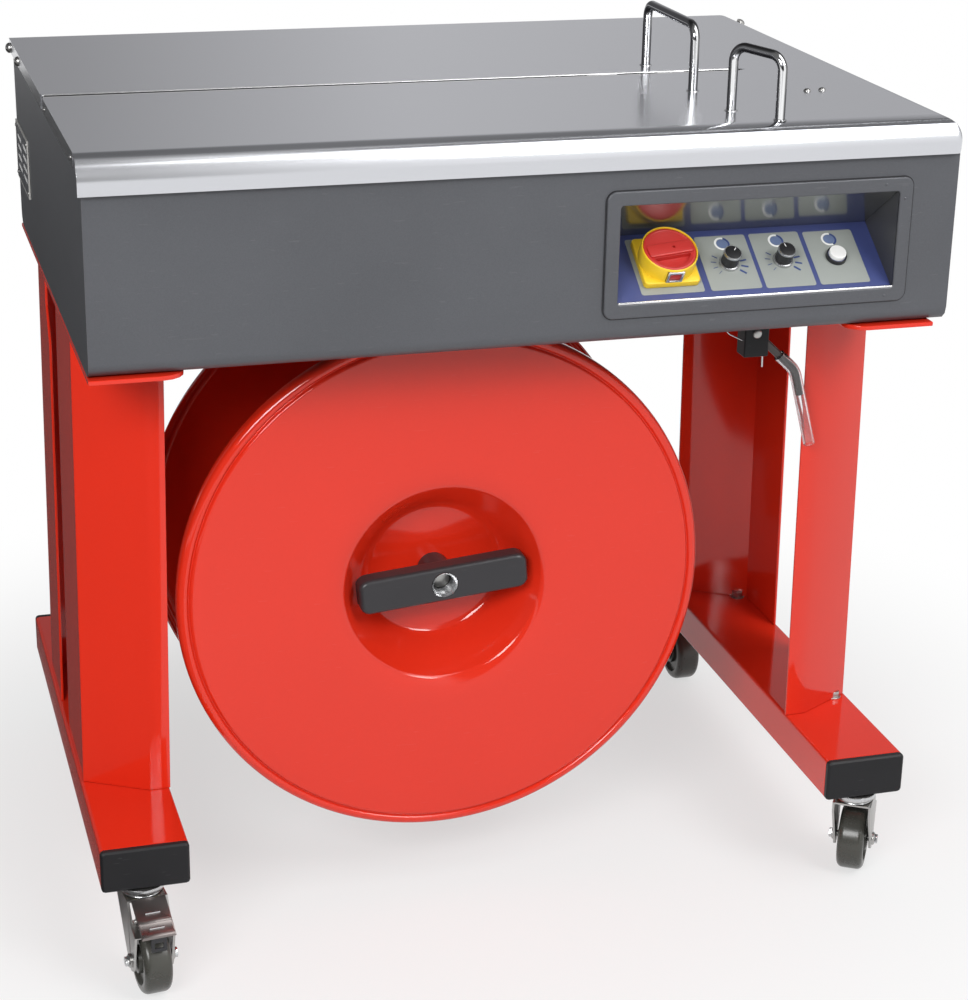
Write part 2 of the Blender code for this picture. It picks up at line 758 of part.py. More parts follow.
def hinge_ear(side):
    """Return a sheet ear on the rear wall, with the hole for the hinge rod."""
    outer = side * (TABLE_WIDTH / 2 - EAR_INSET)
    radius = HINGE_DROP - TABLE_SHEET - EAR_MARGIN
    turns = [math.radians(180 * step / 8) for step in range(9)]
    crown = [(HINGE_Y + radius * math.cos(turn), HINGE_Z + radius * math.sin(turn))
             for turn in turns]
    wall = HOUSING_REAR - HOUSING_WALL / 2
    joint = TABLE_TOP - HOUSING_LID_GAP - EAR_MARGIN
    outline = crown + [(HINGE_Y - radius, HINGE_Z - EAR_DROP + EAR_DEPTH / 2),
                       (HINGE_Y, HINGE_Z - EAR_DROP), (wall, HINGE_Z - EAR_DROP), (wall, joint)]
    plate = prism(outline, "X", outer - side * EAR_SHEET, outer)
    hole = drum("X", (0, HINGE_Y, HINGE_Z), HINGE_ROD / 2 + GAP,
                outer - side * (EAR_SHEET + OVERRUN), outer + side * OVERRUN, 16)
    return cut(plate, hole)


def vent_frame(margin):
    """Return the vent plate's outline in Y and Z, drawn in by a margin."""
    middle = BASE_TOP + VENT_CENTRE_Z
    return rectangle(VENT_CENTRE_Y - VENT_LENGTH / 2 + margin, middle - VENT_HEIGHT / 2 + margin,
                     VENT_CENTRE_Y + VENT_LENGTH / 2 - margin, middle + VENT_HEIGHT / 2 - margin)


def make_vent():
    """Make the vent plate on the left wall, two columns of four slots."""
    outer = -HOUSING_LEFT - GAP
    plate = prism(vent_frame(0), "X", outer - VENT_SHEET, outer)
    (left, bottom), _, (right, top), _ = vent_frame(VENT_MARGIN)
    pitch = (top - bottom) / 4
    middle = (left + right) / 2
    cutters = []
    for row in range(4):
        height = bottom + pitch * (row + 1 / 2)
        for start, stop in ((left, middle - VENT_WEB / 2), (middle + VENT_WEB / 2, right)):
            slot = rounded(start, height - VENT_SLOT / 2, stop, height + VENT_SLOT / 2,
                           VENT_SLOT / 2 - GAP, 2)
            cutters.append(prism(slot, "X", outer - VENT_SHEET - OVERRUN, outer + OVERRUN))
    add_piece("vent_plate", cut(plate, *cutters), "steel")


def roll_profile(radius, centre_z):
    """Return the rolled edge as (reach, height) points from a spine."""
    turns = [math.radians(15 * step) for step in range(7)]
    points = [(radius * math.sin(turn), centre_z + radius * math.cos(turn)) for turn in turns]
    points.append((radius - ROLL_RETURN, TABLE_TOP - ROLL_DROP))
    return points


def make_table_sheet():
    """Return the table plate with its front and right edges rolled down."""
    spine_x = TABLE_RIGHT - ROLL_RADIUS
    spine_y = -TABLE_FRONT + ROLL_RADIUS
    centre_z = TABLE_TOP - ROLL_RADIUS
    turns = [math.radians(90 * step / 3) for step in range(4)]
    stations = [(Vector((spine_x, TABLE_REAR)), Vector((1, 0)))]
    for turn in turns:
        stations.append((None, Vector((math.cos(turn), -math.sin(turn)))))
    stations.append((Vector((TABLE_LEFT, spine_y)), Vector((0, -1))))
    mesh = bmesh.new()
    skins = []
    for radius in (ROLL_RADIUS, ROLL_RADIUS - TABLE_SHEET):
        columns = []
        for spot, direction in stations:
            column = []
            for reach, height in roll_profile(radius, centre_z):
                inset = ROLL_RADIUS - reach
                bend = max(TABLE_CORNER - inset, 0)
                if spot is None:
                    middle = Vector((TABLE_RIGHT - inset - bend, -TABLE_FRONT + inset + bend))
                    place = middle + direction * bend
                else:
                    place = spot + direction * reach
                column.append(mesh.verts.new((place.x, place.y, height)))
            columns.append(column)
        corner_height = centre_z + radius
        corner = mesh.verts.new((TABLE_LEFT, TABLE_REAR, corner_height))
        skins.append((columns, corner))
    for columns, corner in skins:
        for before, after in zip(columns, columns[1:]):
            for index in range(len(before) - 1):
                mesh.faces.new((before[index], before[index + 1], after[index + 1], after[index]))
        mesh.faces.new([corner] + [column[0] for column in columns])
    (outer, outer_corner), (inner, inner_corner) = skins
    for before, after, under, beyond in zip(outer, outer[1:], inner, inner[1:]):
        mesh.faces.new((before[-1], after[-1], beyond[-1], under[-1]))
    for end, mirror in ((outer[0], inner[0]), (outer[-1], inner[-1])):
        for index in range(len(end) - 1):
            mesh.faces.new((end[index], end[index + 1], mirror[index + 1], mirror[index]))
        corners = (end[0], mirror[0], inner_corner, outer_corner)
        mesh.faces.new(corners)
    bmesh.ops.remove_doubles(mesh, verts=mesh.verts, dist=GAP / 10)
    bmesh.ops.recalc_face_normals(mesh, faces=mesh.faces)
    return mesh


def make_table():
    """Make the lid's table plate, with its slot and side flange."""
    flange = block((TABLE_LEFT, -TABLE_FRONT + ROLL_RADIUS, TABLE_TOP - SIDE_FLANGE),
                   (TABLE_LEFT + TABLE_SHEET, TABLE_REAR, TABLE_TOP - TABLE_SHEET / 2))
    table = united(make_table_sheet(), flange)
    half = SLOT_WIDTH / 2
    slot = [(TABLE_LEFT - OVERRUN, -SLOT_SETBACK - half), (SLOT_REACH, -SLOT_SETBACK - half),
            (SLOT_REACH + SLOT_TIP, -SLOT_SETBACK), (SLOT_REACH, -SLOT_SETBACK + half),
            (TABLE_LEFT - OVERRUN, -SLOT_SETBACK + half)]
    slot_cut = prism(slot, "Z", TABLE_TOP - SIDE_FLANGE - OVERRUN, TABLE_TOP + OVERRUN)
    holes = []
    for start, stop in ((TABLE_LEFT - OVERRUN, TABLE_LEFT + TABLE_SHEET + OVERRUN),
                        (TABLE_RIGHT - ROLL_RADIUS, TABLE_RIGHT + OVERRUN)):
        holes.append(drum("X", (0, HINGE_Y, HINGE_Z), HINGE_ROD / 2 + GAP, start, stop, 16))
    origin = (0, HINGE_Y, HINGE_Z)
    add_piece("top_plate", cut(table, slot_cut, *holes), "steel", origin, smooth=True)


def make_strap_track():
    """Make the two lips in the slot, with the groove for the strap between them."""
    wide = SLOT_WIDTH / 2 - GAP
    groove = TRACK_GROOVE / 2
    flange = SLOT_WIDTH / 2 + TRACK_FLANGE
    top = TABLE_TOP - TRACK_SINK
    under = TABLE_UNDER - GAP
    bottom = TABLE_TOP - TRACK_DEPTH
    section = [(groove, top), (wide, top), (wide, under), (flange, under), (flange, bottom),
               (groove, bottom)]
    start = TABLE_LEFT + TABLE_SHEET + GAP
    origin = (0, HINGE_Y, HINGE_Z)
    for side, word in ((-1, "front"), (1, "rear")):
        points = [(side * across - SLOT_SETBACK, height) for across, height in section]
        lip = prism(points, "X", start, SLOT_REACH - GAP)
        add_piece("strap_track_" + word, lip, "zinc", origin)


def make_u_bars():
    """Make the two bent round bars that stand on the table."""
    foot = TABLE_TOP + GAP
    high = TABLE_TOP + BAR_HEIGHT - BAR_DIAMETER / 2
    origin = (0, HINGE_Y, HINGE_Z)
    rear = [(REAR_BAR_X, REAR_BAR_FRONT, foot), (REAR_BAR_X, REAR_BAR_FRONT, high),
            (REAR_BAR_X, REAR_BAR_BACK, high), (REAR_BAR_X, REAR_BAR_BACK, foot)]
    low = high - FRONT_BAR_DIP
    front = [(FRONT_BAR_BACK_X, FRONT_BAR_BACK_Y, foot), (FRONT_BAR_BACK_X, FRONT_BAR_BACK_Y, high),
             (FRONT_BAR_FRONT_X, FRONT_BAR_FRONT_Y, low),
             (FRONT_BAR_FRONT_X, FRONT_BAR_FRONT_Y, foot)]
    for name, points in (("u_bar_rear", rear), ("u_bar_front", front)):
        path = bent_path(points, BAR_BEND)
        add_piece(name, swept(path, BAR_DIAMETER / 2), "zinc", origin, smooth=True)


def make_hinge_rod():
    """Make the rod that the lid turns on, domed outside both edges."""
    rod = HINGE_ROD / 2
    dome = HINGE_DOME / 2
    drop = ROLL_RADIUS - HINGE_DROP
    reach = math.sqrt(ROLL_RADIUS ** 2 - (drop - dome) ** 2)
    left = TABLE_LEFT - GAP
    right = TABLE_RIGHT - ROLL_RADIUS + reach + GAP
    profile = [(0, left - HINGE_DOME_LEFT), (dome * math.sin(math.radians(50)),
               left - HINGE_DOME_LEFT * math.cos(math.radians(50))), (dome, left), (rod, left),
               (rod, right), (dome, right), (dome * math.cos(math.radians(40)),
               right + HINGE_DOME_RIGHT * math.sin(math.radians(40))),
               (0, right + HINGE_DOME_RIGHT)]
    add_piece("hinge_rod", turned(profile, "X", (0, HINGE_Y, HINGE_Z), 16), "zinc", smooth=True)


def make_bezel():
    """Make the front frame of the controls with the box sunk behind it."""
    left, bottom, right, top = bezel_opening()
    frame_left = left - BEZEL_BORDER
    face = -HOUSING_FRONT - GAP
    outer = rounded(frame_left, bottom - BEZEL_BORDER, right + BEZEL_BORDER, top + BEZEL_BORDER,
                    BEZEL_CORNER, 3)
    frame = prism(outer, "Y", face - BEZEL_SHEET, face)
    wall = BEZEL_WALL
    back = -HOUSING_FRONT + RECESS_DEPTH
    floor = bottom - panel_sink()
    box = block((left - wall, face - BEZEL_SHEET / 2, floor - wall),
                (right + wall, back, top + wall))
    mouth = prism(rounded(left, bottom, right, top, BEZEL_CORNER, 3), "Y",
                  face - BEZEL_SHEET - OVERRUN, face + OVERRUN)
    room = block((left, face, floor), (right, back - wall, top))
    add_piece("control_bezel", cut(united(frame, box), mouth, room), "gloss black")


def panel_slope():
    """Return the panel's direction up its slope."""
    return Vector((0, RECESS_DEPTH - BEZEL_WALL, PANEL_RISE)).normalized()


def panel_sink():
    """Return how far the panel's underside lies below the opening's bottom edge."""
    return PANEL_SHEET / panel_slope().y + GAP


def panel_frame():
    """Return the panel's corner, its direction up the slope and its outward normal."""
    left, bottom, right, top = bezel_opening()
    start = Vector((0, -HOUSING_FRONT, bottom))
    slope = panel_slope()
    normal = Vector((0, -slope.z, slope.y))
    return start, slope, normal


def on_panel(mesh, across, along, lift=0):
    """Move a mesh made round Z on to the panel, at a place up its slope."""
    start, slope, normal = panel_frame()
    matrix = Matrix((Vector((1, 0, 0)), slope, normal)).transposed().to_4x4()
    matrix.translation = start + Vector((across, 0, 0)) + slope * along + normal * lift
    bmesh.ops.transform(mesh, matrix=matrix, verts=mesh.verts)
    return mesh


def panel_point(across, along, lift=0):
    """Return the world place of a spot on the panel's face."""
    start, slope, normal = panel_frame()
    return start + Vector((across, 0, 0)) + slope * along + normal * lift


def make_panel():
    """Make the sloping plate that carries the controls."""
    left, bottom, right, top = bezel_opening()
    start, slope, normal = panel_frame()
    depth = RECESS_DEPTH - BEZEL_WALL - GAP
    rise = depth * slope.z / slope.y
    face = [(start.y, start.z), (start.y + depth, start.z + rise)]
    drop = PANEL_SHEET / slope.y
    outline = face + [(face[1][0], face[1][1] - drop), (face[0][0], face[0][1] - drop)]
    plate = prism(outline, "X", left + GAP, right - GAP)
    holes = []
    for across, along, size in ((SWITCH_X, SWITCH_ROW, SPINDLE), (TIMER_X, CONTROL_ROW, SPINDLE),
                                (TENSION_X, CONTROL_ROW, SPINDLE),
                                (BUTTON_X, CONTROL_ROW, SPINDLE)):
        hole = drum("Z", (0, 0, 0), size / 2 + RUNNING_GAP, -PANEL_SHEET - OVERRUN, OVERRUN, 16)
        holes.append(on_panel(hole, across, along))
    add_piece("control_panel", united(cut(plate, *holes), button_collar()), "blue")


def button_collar():
    """Return the raised ring round the push button, seated in the panel."""
    inner = BUTTON_DIAMETER / 2 + RUNNING_GAP
    outer = BUTTON_COLLAR / 2
    sunk = -PANEL_SHEET / 2
    profile = [(outer, sunk), (outer, BUTTON_COLLAR_HEIGHT - SOFT_EDGE),
               (outer - SOFT_EDGE, BUTTON_COLLAR_HEIGHT), (inner, BUTTON_COLLAR_HEIGHT),
               (inner, sunk)]
    return on_panel(turned(profile, "Z", (0, 0, 0), 20), BUTTON_X, CONTROL_ROW)


def make_controls():
    """Make the main switch, two knobs and the push button with its collar."""
    half = SWITCH_BASE / 2
    base = prism(rounded(-half, -half, half, half, BEZEL_CORNER / 3, 2), "Z", GAP,
                 SWITCH_BASE_HEIGHT)
    collar = drum("Z", (0, 0, 0), SWITCH_COLLAR / 2, SWITCH_BASE_HEIGHT / 2,
                  SWITCH_BASE_HEIGHT + SWITCH_COLLAR_HEIGHT)
    bore = drum("Z", (0, 0, 0), SPINDLE / 2 + RUNNING_GAP, -OVERRUN,
                SWITCH_BASE_HEIGHT + SWITCH_COLLAR_HEIGHT + OVERRUN, 16)
    body = cut(united(base, collar), bore)
    add_piece("switch_base", on_panel(body, SWITCH_X, SWITCH_ROW), "yellow")

    low = SWITCH_BASE_HEIGHT + SWITCH_COLLAR_HEIGHT + GAP
    radius = SWITCH_KNOB / 2
    high = low + SWITCH_KNOB_HEIGHT
    profile = [(0, high), (radius - SOFT_EDGE * 2, high), (radius, high - SOFT_EDGE * 2),
               (radius, low), (SPINDLE / 2, low), (SPINDLE / 2, -PANEL_SHEET - SPINDLE_LENGTH),
               (0, -PANEL_SHEET - SPINDLE_LENGTH)]
    knob = turned(profile, "Z", (0, 0, 0))
    origin = panel_point(SWITCH_X, SWITCH_ROW)
    add_piece("switch_knob", on_panel(knob, SWITCH_X, SWITCH_ROW), "switch red", origin, True)

    for name, across in (("timer_knob", TIMER_X), ("tension_knob", TENSION_X)):
        radius = KNOB_DIAMETER / 2
        profile = [(0, KNOB_HEIGHT), (radius - SOFT_EDGE, KNOB_HEIGHT),
                   (radius, KNOB_HEIGHT - SOFT_EDGE), (radius, KNOB_SKIRT_HEIGHT),
                   (KNOB_SKIRT / 2, KNOB_SKIRT_HEIGHT), (KNOB_SKIRT / 2, GAP), (SPINDLE / 2, GAP),
                   (SPINDLE / 2, -PANEL_SHEET - SPINDLE_LENGTH),
                   (0, -PANEL_SHEET - SPINDLE_LENGTH)]
        knob = turned(profile, "Z", (0, 0, 0), 20)
        origin = panel_point(across, CONTROL_ROW)
        add_piece(name, on_panel(knob, across, CONTROL_ROW), "black", origin, True)

    radius = BUTTON_DIAMETER / 2
    stem = SPINDLE / 2
    high = BUTTON_COLLAR_HEIGHT + BUTTON_PROUD
    low = BUTTON_TRAVEL + GAP
    profile = [(0, high), (radius - SOFT_EDGE, high), (radius, high - SOFT_EDGE), (radius, low),
               (stem, low), (stem, -PANEL_SHEET - SPINDLE_LENGTH),
               (0, -PANEL_SHEET - SPINDLE_LENGTH)]
    button = turned(profile, "Z", (0, 0, 0), 20)
    origin = panel_point(BUTTON_X, CONTROL_ROW)
    add_piece("push_button", on_panel(button, BUTTON_X, CONTROL_ROW), "white", origin, True)


def fork_cheek():
    """Return the outline of a caster cheek in Y and Z, trail towards +Y."""
    outer = WHEEL_RADIUS + FORK_CLEARANCE + FORK_SHEET + GAP
    turns = [math.radians(angle) for angle in FORK_ARCH_TURNS[2:]]
    arch = [(TRAIL + outer * math.cos(turn), WHEEL_RADIUS + outer * math.sin(turn))
            for turn in turns]
    lobe_turns = [math.radians(angle) for angle in (-10, -50, -90, -130, -170)]
    lobe = [(TRAIL + FORK_LOBE * math.cos(turn), WHEEL_RADIUS + FORK_LOBE * math.sin(turn))
            for turn in lobe_turns]
    top = CASTER_HEIGHT - FORK_CROWN_DROP
    return ([(-FORK_FRONT, top), (FORK_CROWN_BACK, top)] + arch + lobe
            + [(-FORK_FRONT, top - FORK_SKIRT_DROP)])


def make_fork(spot, heading, pedal):
    """Return a caster fork with its swivel head, stem and riveted axle."""
    inner = WHEEL_RADIUS + FORK_CLEARANCE
    outer = inner + FORK_SHEET
    turns = [math.radians(angle) for angle in FORK_ARCH_TURNS]
    skin = [(TRAIL + outer * math.cos(turn), WHEEL_RADIUS + outer * math.sin(turn))
            for turn in turns]
    back = [(TRAIL + inner * math.cos(turn), WHEEL_RADIUS + inner * math.sin(turn))
            for turn in reversed(turns)]
    top = CASTER_HEIGHT - FORK_CROWN_DROP
    half = WHEEL_WIDTH / 2 + FORK_SIDE_CLEARANCE + FORK_SHEET
    parts = [prism(skin + back, "X", -half + SOFT_EDGE, half - SOFT_EDGE),
             block((-half + SOFT_EDGE, -FORK_FRONT + SOFT_EDGE, top - FORK_SHEET),
                   (half - SOFT_EDGE, FORK_CROWN_BACK - SOFT_EDGE, top - SOFT_EDGE / 2))]
    for side in (-1, 1):
        parts.append(prism(fork_cheek(), "X", side * (half - FORK_SHEET), side * half))
    rod = AXLE_DIAMETER / 2
    head = AXLE_HEAD / 2
    reach = half + AXLE_HEAD_HEIGHT
    sunk = half - FORK_SHEET / 2
    profile = [(0, -reach), (head - SOFT_EDGE, -reach), (head, -reach + SOFT_EDGE),
               (head, -sunk), (rod, -sunk), (rod, sunk), (head, sunk),
               (head, reach - SOFT_EDGE), (head - SOFT_EDGE, reach), (0, reach)]
    parts.append(turned(profile, "X", (0, TRAIL, WHEEL_RADIUS), 12))
    plate = CASTER_HEIGHT - GAP
    ring = SWIVEL_RING / 2
    ring_low = plate - SWIVEL_RING_HEIGHT
    stem_top = CASTER_HEIGHT + FOOT_WALL + GAP
    cup_low = top - FORK_SHEET / 2
    profile = [(0, stem_top + STEM_HEAD_HEIGHT), (STEM_HEAD / 2, stem_top + STEM_HEAD_HEIGHT),
               (STEM_HEAD / 2, stem_top), (STEM_DIAMETER / 2, stem_top),
               (STEM_DIAMETER / 2, plate), (ring, plate), (ring, ring_low + SOFT_EDGE),
               (ring - SOFT_EDGE, ring_low), (SWIVEL_CUP / 2, ring_low),
               (SWIVEL_CUP / 2, cup_low), (0, cup_low)]
    parts.append(turned(profile, "Z", (0, 0, 0), 16))
    if pedal:
        pin_z = WHEEL_RADIUS + outer + PEDAL_PIN_RISE
        low = WHEEL_RADIUS + inner - FORK_SHEET / 2
        lug = block((-LUG_WIDTH / 2, PEDAL_PIN_Y - LUG_LENGTH / 2, low),
                    (LUG_WIDTH / 2, PEDAL_PIN_Y + LUG_LENGTH / 2, pin_z + PEDAL_PIN))
        pin = drum("X", (0, PEDAL_PIN_Y, pin_z), PEDAL_PIN / 2, -PEDAL_WIDTH / 2 - GAP,
                   PEDAL_WIDTH / 2 + GAP, 12)
        parts += [lug, pin]
    fork = united(*parts)
    return carried(fork, spot, heading)


def carried(mesh, spot, heading):
    """Turn a caster piece to its heading and move it under its stem."""
    bmesh.ops.rotate(mesh, verts=mesh.verts, matrix=Matrix.Rotation(-math.radians(heading), 3, "Z"))
    bmesh.ops.translate(mesh, verts=mesh.verts, vec=spot)
    return mesh


def make_wheel():
    """Return a caster wheel with a round tread, a sunk web and a hub."""
    half = WHEEL_WIDTH / 2
    hub = WHEEL_HUB_WIDTH / 2
    bore = AXLE_DIAMETER / 2 + RUNNING_GAP
    edge = WHEEL_TREAD_EDGE
    side = [(bore, hub), (WHEEL_HUB / 2, hub), (WHEEL_HUB / 2, half - WHEEL_RECESS),
            (WHEEL_RIM / 2, half - WHEEL_RECESS), (WHEEL_RIM / 2, half),
            (WHEEL_RADIUS - edge / 2, half), (WHEEL_RADIUS, half - edge)]
    profile = side + [(radius, -along) for radius, along in reversed(side)]
    return turned(profile, "X", (0, TRAIL, WHEEL_RADIUS), WHEEL_STEPS)


def make_pedal():
    """Return a brake pedal: a sloping plate with two side ears on the pin."""
    outer = WHEEL_RADIUS + FORK_CLEARANCE + FORK_SHEET
    pin_z = WHEEL_RADIUS + outer + PEDAL_PIN_RISE
    high = CASTER_HEIGHT - PEDAL_TOP
    low = high - PEDAL_FALL
    far = PEDAL_BACK + PEDAL_LENGTH
    plate = [(PEDAL_BACK, high), (far, low), (far, low - PEDAL_SHEET),
             (PEDAL_BACK, high - PEDAL_SHEET)]
    half = PEDAL_WIDTH / 2
    parts = [prism(plate, "X", -half, half)]
    slope = PEDAL_FALL / PEDAL_LENGTH
    ear_back = PEDAL_PIN_Y - PEDAL_PIN
    ear_front = PEDAL_PIN_Y + PEDAL_PIN * 2
    sunk = PEDAL_SHEET / 2

    def under(along):
        return high - slope * (along - PEDAL_BACK) - sunk

    ear = [(ear_back, under(ear_back)), (ear_front, under(ear_front)),
           (PEDAL_PIN_Y + PEDAL_PIN, pin_z - PEDAL_PIN), (ear_back, pin_z - PEDAL_PIN)]
    for side in (-1, 1):
        edge = side * (half - PEDAL_EAR_INSET)
        parts.append(prism(ear, "X", edge - side * PEDAL_SHEET, edge))
    rib_low = (PEDAL_PIN_Y + PEDAL_PIN * 3, far)
    for along in rib_low:
        height = high - slope * (along - PEDAL_BACK)
        rib = [(along - PEDAL_SHEET * 2, height + PEDAL_SHEET + slope * PEDAL_SHEET),
               (along, height + PEDAL_SHEET - slope * PEDAL_SHEET), (along, height - sunk),
               (along - PEDAL_SHEET * 2, height - sunk)]
        parts.append(prism(rib, "X", -half + SOFT_EDGE, half - SOFT_EDGE))
    pedal = united(*parts)
    bore = drum("X", (0, PEDAL_PIN_Y, pin_z), PEDAL_PIN / 2 + GAP, -half - OVERRUN,
                half + OVERRUN, 12)
    return cut(pedal, bore), pin_z


def make_casters():
    """Make the four casters; the front left and rear left have brake pedals."""
    places = (("fl", -1, -1, 174), ("fr", 1, -1, 32), ("rl", -1, 1, 6), ("rr", 1, 1, 180))
    for word, side, end, heading in places:
        spot = Vector((foot_centre(side) - STEM_SHIFT, end * STEM_SETBACK, 0))
        braked = side < 0
        fork = make_fork(spot, heading, braked)
        add_piece("caster_fork_" + word, fork, "zinc", spot, True)
        turn = Matrix.Rotation(-math.radians(heading), 3, "Z")
        wheel_origin = spot + turn @ Vector((0, TRAIL, WHEEL_RADIUS))
        wheel = carried(make_wheel(), spot, heading)
        add_piece("caster_wheel_" + word, wheel, "rubber", wheel_origin, True)
        if braked:
            pedal, pin_z = make_pedal()
            pedal_origin = spot + turn @ Vector((0, PEDAL_PIN_Y, pin_z))
            pedal = carried(pedal, spot, heading)
            add_piece("brake_pedal_" + word, pedal, "zinc", pedal_origin)


def flange_profile(sheet):
    """Return a flange's section as (radius, depth), face at depth zero."""
    rim = FLANGE_RADIUS
    flat = rim - RIM_BEND
    face = [(rim, RIM_DEPTH), (rim, RIM_DEPTH * 2 / 3), (rim - RIM_BEND / 5, RIM_DEPTH / 3),
            (rim - RIM_BEND / 2, RIM_DEPTH / 6), (flat, 0), (DISH_RADIUS, 0)]
    for angle in DISH_SHOULDER_TURNS:
        turn = math.radians(angle)
        face.append((DISH_RADIUS - DISH_SHOULDER * math.sin(turn),
                     DISH_SHOULDER_DROP * (1 - math.cos(turn))))
    face += [(DISH_FLOOR + DISH_FILLET, DISH_DEPTH - DISH_FILLET_RISE),
             (DISH_FLOOR + DISH_FILLET / 2, DISH_DEPTH - DISH_FILLET_RISE / 3),
             (DISH_FLOOR, DISH_DEPTH)]
    hub = REEL_AXLE / 2 + RUNNING_GAP
    face.append((hub, DISH_DEPTH))
    back = []
    count = len(face)
    for index, point in enumerate(face):
        before = Vector(face[max(index - 1, 0)])
        after = Vector(face[min(index + 1, count - 1)])
        along = (after - before).normalized()
        normal = Vector((-along.y, along.x))
        if normal.dot(Vector((0, 1))) < 0 and index not in (0, 1):
            normal = -normal
        if index in (0, 1):
            normal = Vector((-1, 0))
        back.append((point[0] + normal.x * sheet, point[1] + normal.y * sheet))
    back[-1] = (hub, DISH_DEPTH + sheet)
    return face + back[::-1]


def make_reel():
    """Make the two dished flanges, the core between them, the axle and bracket."""
    profile = flange_profile(FLANGE_SHEET)
    front = [(radius, -REEL_FRONT + depth) for radius, depth in profile]
    rear_face = -REEL_FRONT + REEL_WIDTH
    rear = [(radius, rear_face - depth) for radius, depth in profile]
    centre = (REEL_X, 0, REEL_Z)
    origin = (REEL_X, -REEL_FRONT, REEL_Z)
    add_piece("flange_front", turned(front, "Y", centre, REEL_STEPS), "red", origin, True)
    origin = (REEL_X, rear_face, REEL_Z)
    add_piece("flange_rear", turned(rear, "Y", centre, REEL_STEPS), "red", origin, True)

    inset = DISH_DEPTH + FLANGE_SHEET + GAP
    low = -REEL_FRONT + inset
    high = rear_face - inset
    bore = REEL_AXLE / 2 + RUNNING_GAP
    core = CORE_DIAMETER / 2
    tube = [(bore, low), (core, low), (core, high), (bore, high)]
    origin = (REEL_X, low, REEL_Z)
    add_piece("reel_core", turned(tube, "Y", centre, ROUND_STEPS), "zinc", origin, True)

    collar = AXLE_COLLAR / 2
    plate = BRACKET_SETBACK
    axle = REEL_AXLE / 2
    nose = -REEL_FRONT - HANDLE_FACE + HANDLE_DEPTH / 2
    tail = rear_face - DISH_DEPTH + GAP
    stop = [(0, nose), (axle, nose), (axle, tail), (collar, tail), (collar, plate - GAP),
            (axle, plate - GAP), (axle, plate + BRACKET_SHEET + GAP),
            (collar, plate + BRACKET_SHEET + GAP),
            (collar, plate + BRACKET_SHEET + AXLE_COLLAR_LENGTH),
            (0, plate + BRACKET_SHEET + AXLE_COLLAR_LENGTH)]
    add_piece("reel_axle", turned(stop, "Y", centre, ROUND_STEPS), "zinc", smooth=True)

    half = BRACKET_WIDTH / 2
    foot = REEL_Z - BRACKET_DROP
    top = BASE_BOTTOM - GAP
    web = prism(rectangle(REEL_X - half, foot, REEL_X + half, top), "Y", plate,
                plate + BRACKET_SHEET)
    flange = block((REEL_X - half, plate + BRACKET_SHEET / 2, top - BRACKET_SHEET),
                   (REEL_X + half, plate + BRACKET_FLANGE, top))
    hole = drum("Y", centre, axle + GAP, plate - OVERRUN, plate + BRACKET_SHEET + OVERRUN)
    add_piece("reel_bracket", cut(united(web, flange), hole), "red")


def make_handle():
    """Make the T handle that clamps the reel, with its stem and open bore."""
    face = -REEL_FRONT - HANDLE_FACE
    end = HANDLE_LENGTH / 2
    tall = HANDLE_HEIGHT / 2
    low = tall - HANDLE_BOW
    outline = [(-end, -low), (-end / 2, -tall + HANDLE_BOW / 3), (0, -tall),
               (end / 2, -tall + HANDLE_BOW / 3), (end, -low), (end, low),
               (end / 2, tall - HANDLE_BOW / 3), (0, tall), (-end / 2, tall - HANDLE_BOW / 3),
               (-end, low)]
    rings = []
    for inset, level in ((HANDLE_BEVEL, face), (0, face + HANDLE_BEVEL),
                         (0, face + HANDLE_DEPTH - HANDLE_BACK_BEVEL),
                         (HANDLE_BACK_BEVEL, face + HANDLE_DEPTH)):
        ring = []
        for across, up in outline:
            narrow = across * (end - inset) / end
            short = up * (tall - inset) / tall
            ring.append(seat((narrow, short), "Y", level))
        rings.append(ring)
    bar = stack(rings)
    floor = -REEL_FRONT + DISH_DEPTH - GAP
    stem = drum("Y", (0, 0, 0), HANDLE_STEM / 2, face + HANDLE_DEPTH / 2, floor)
    bore = drum("Y", (0, 0, 0), HANDLE_BORE / 2, face - OVERRUN, floor + OVERRUN)
    handle = cut(united(bar, stem), bore)
    turn = Matrix.Rotation(-math.radians(HANDLE_TILT), 3, "Y")
    bmesh.ops.rotate(handle, verts=handle.verts, matrix=turn)
    bmesh.ops.translate(handle, verts=handle.verts, vec=(REEL_X, 0, REEL_Z))
    add_piece("reel_handle", handle, "black", (REEL_X, -REEL_FRONT, REEL_Z))


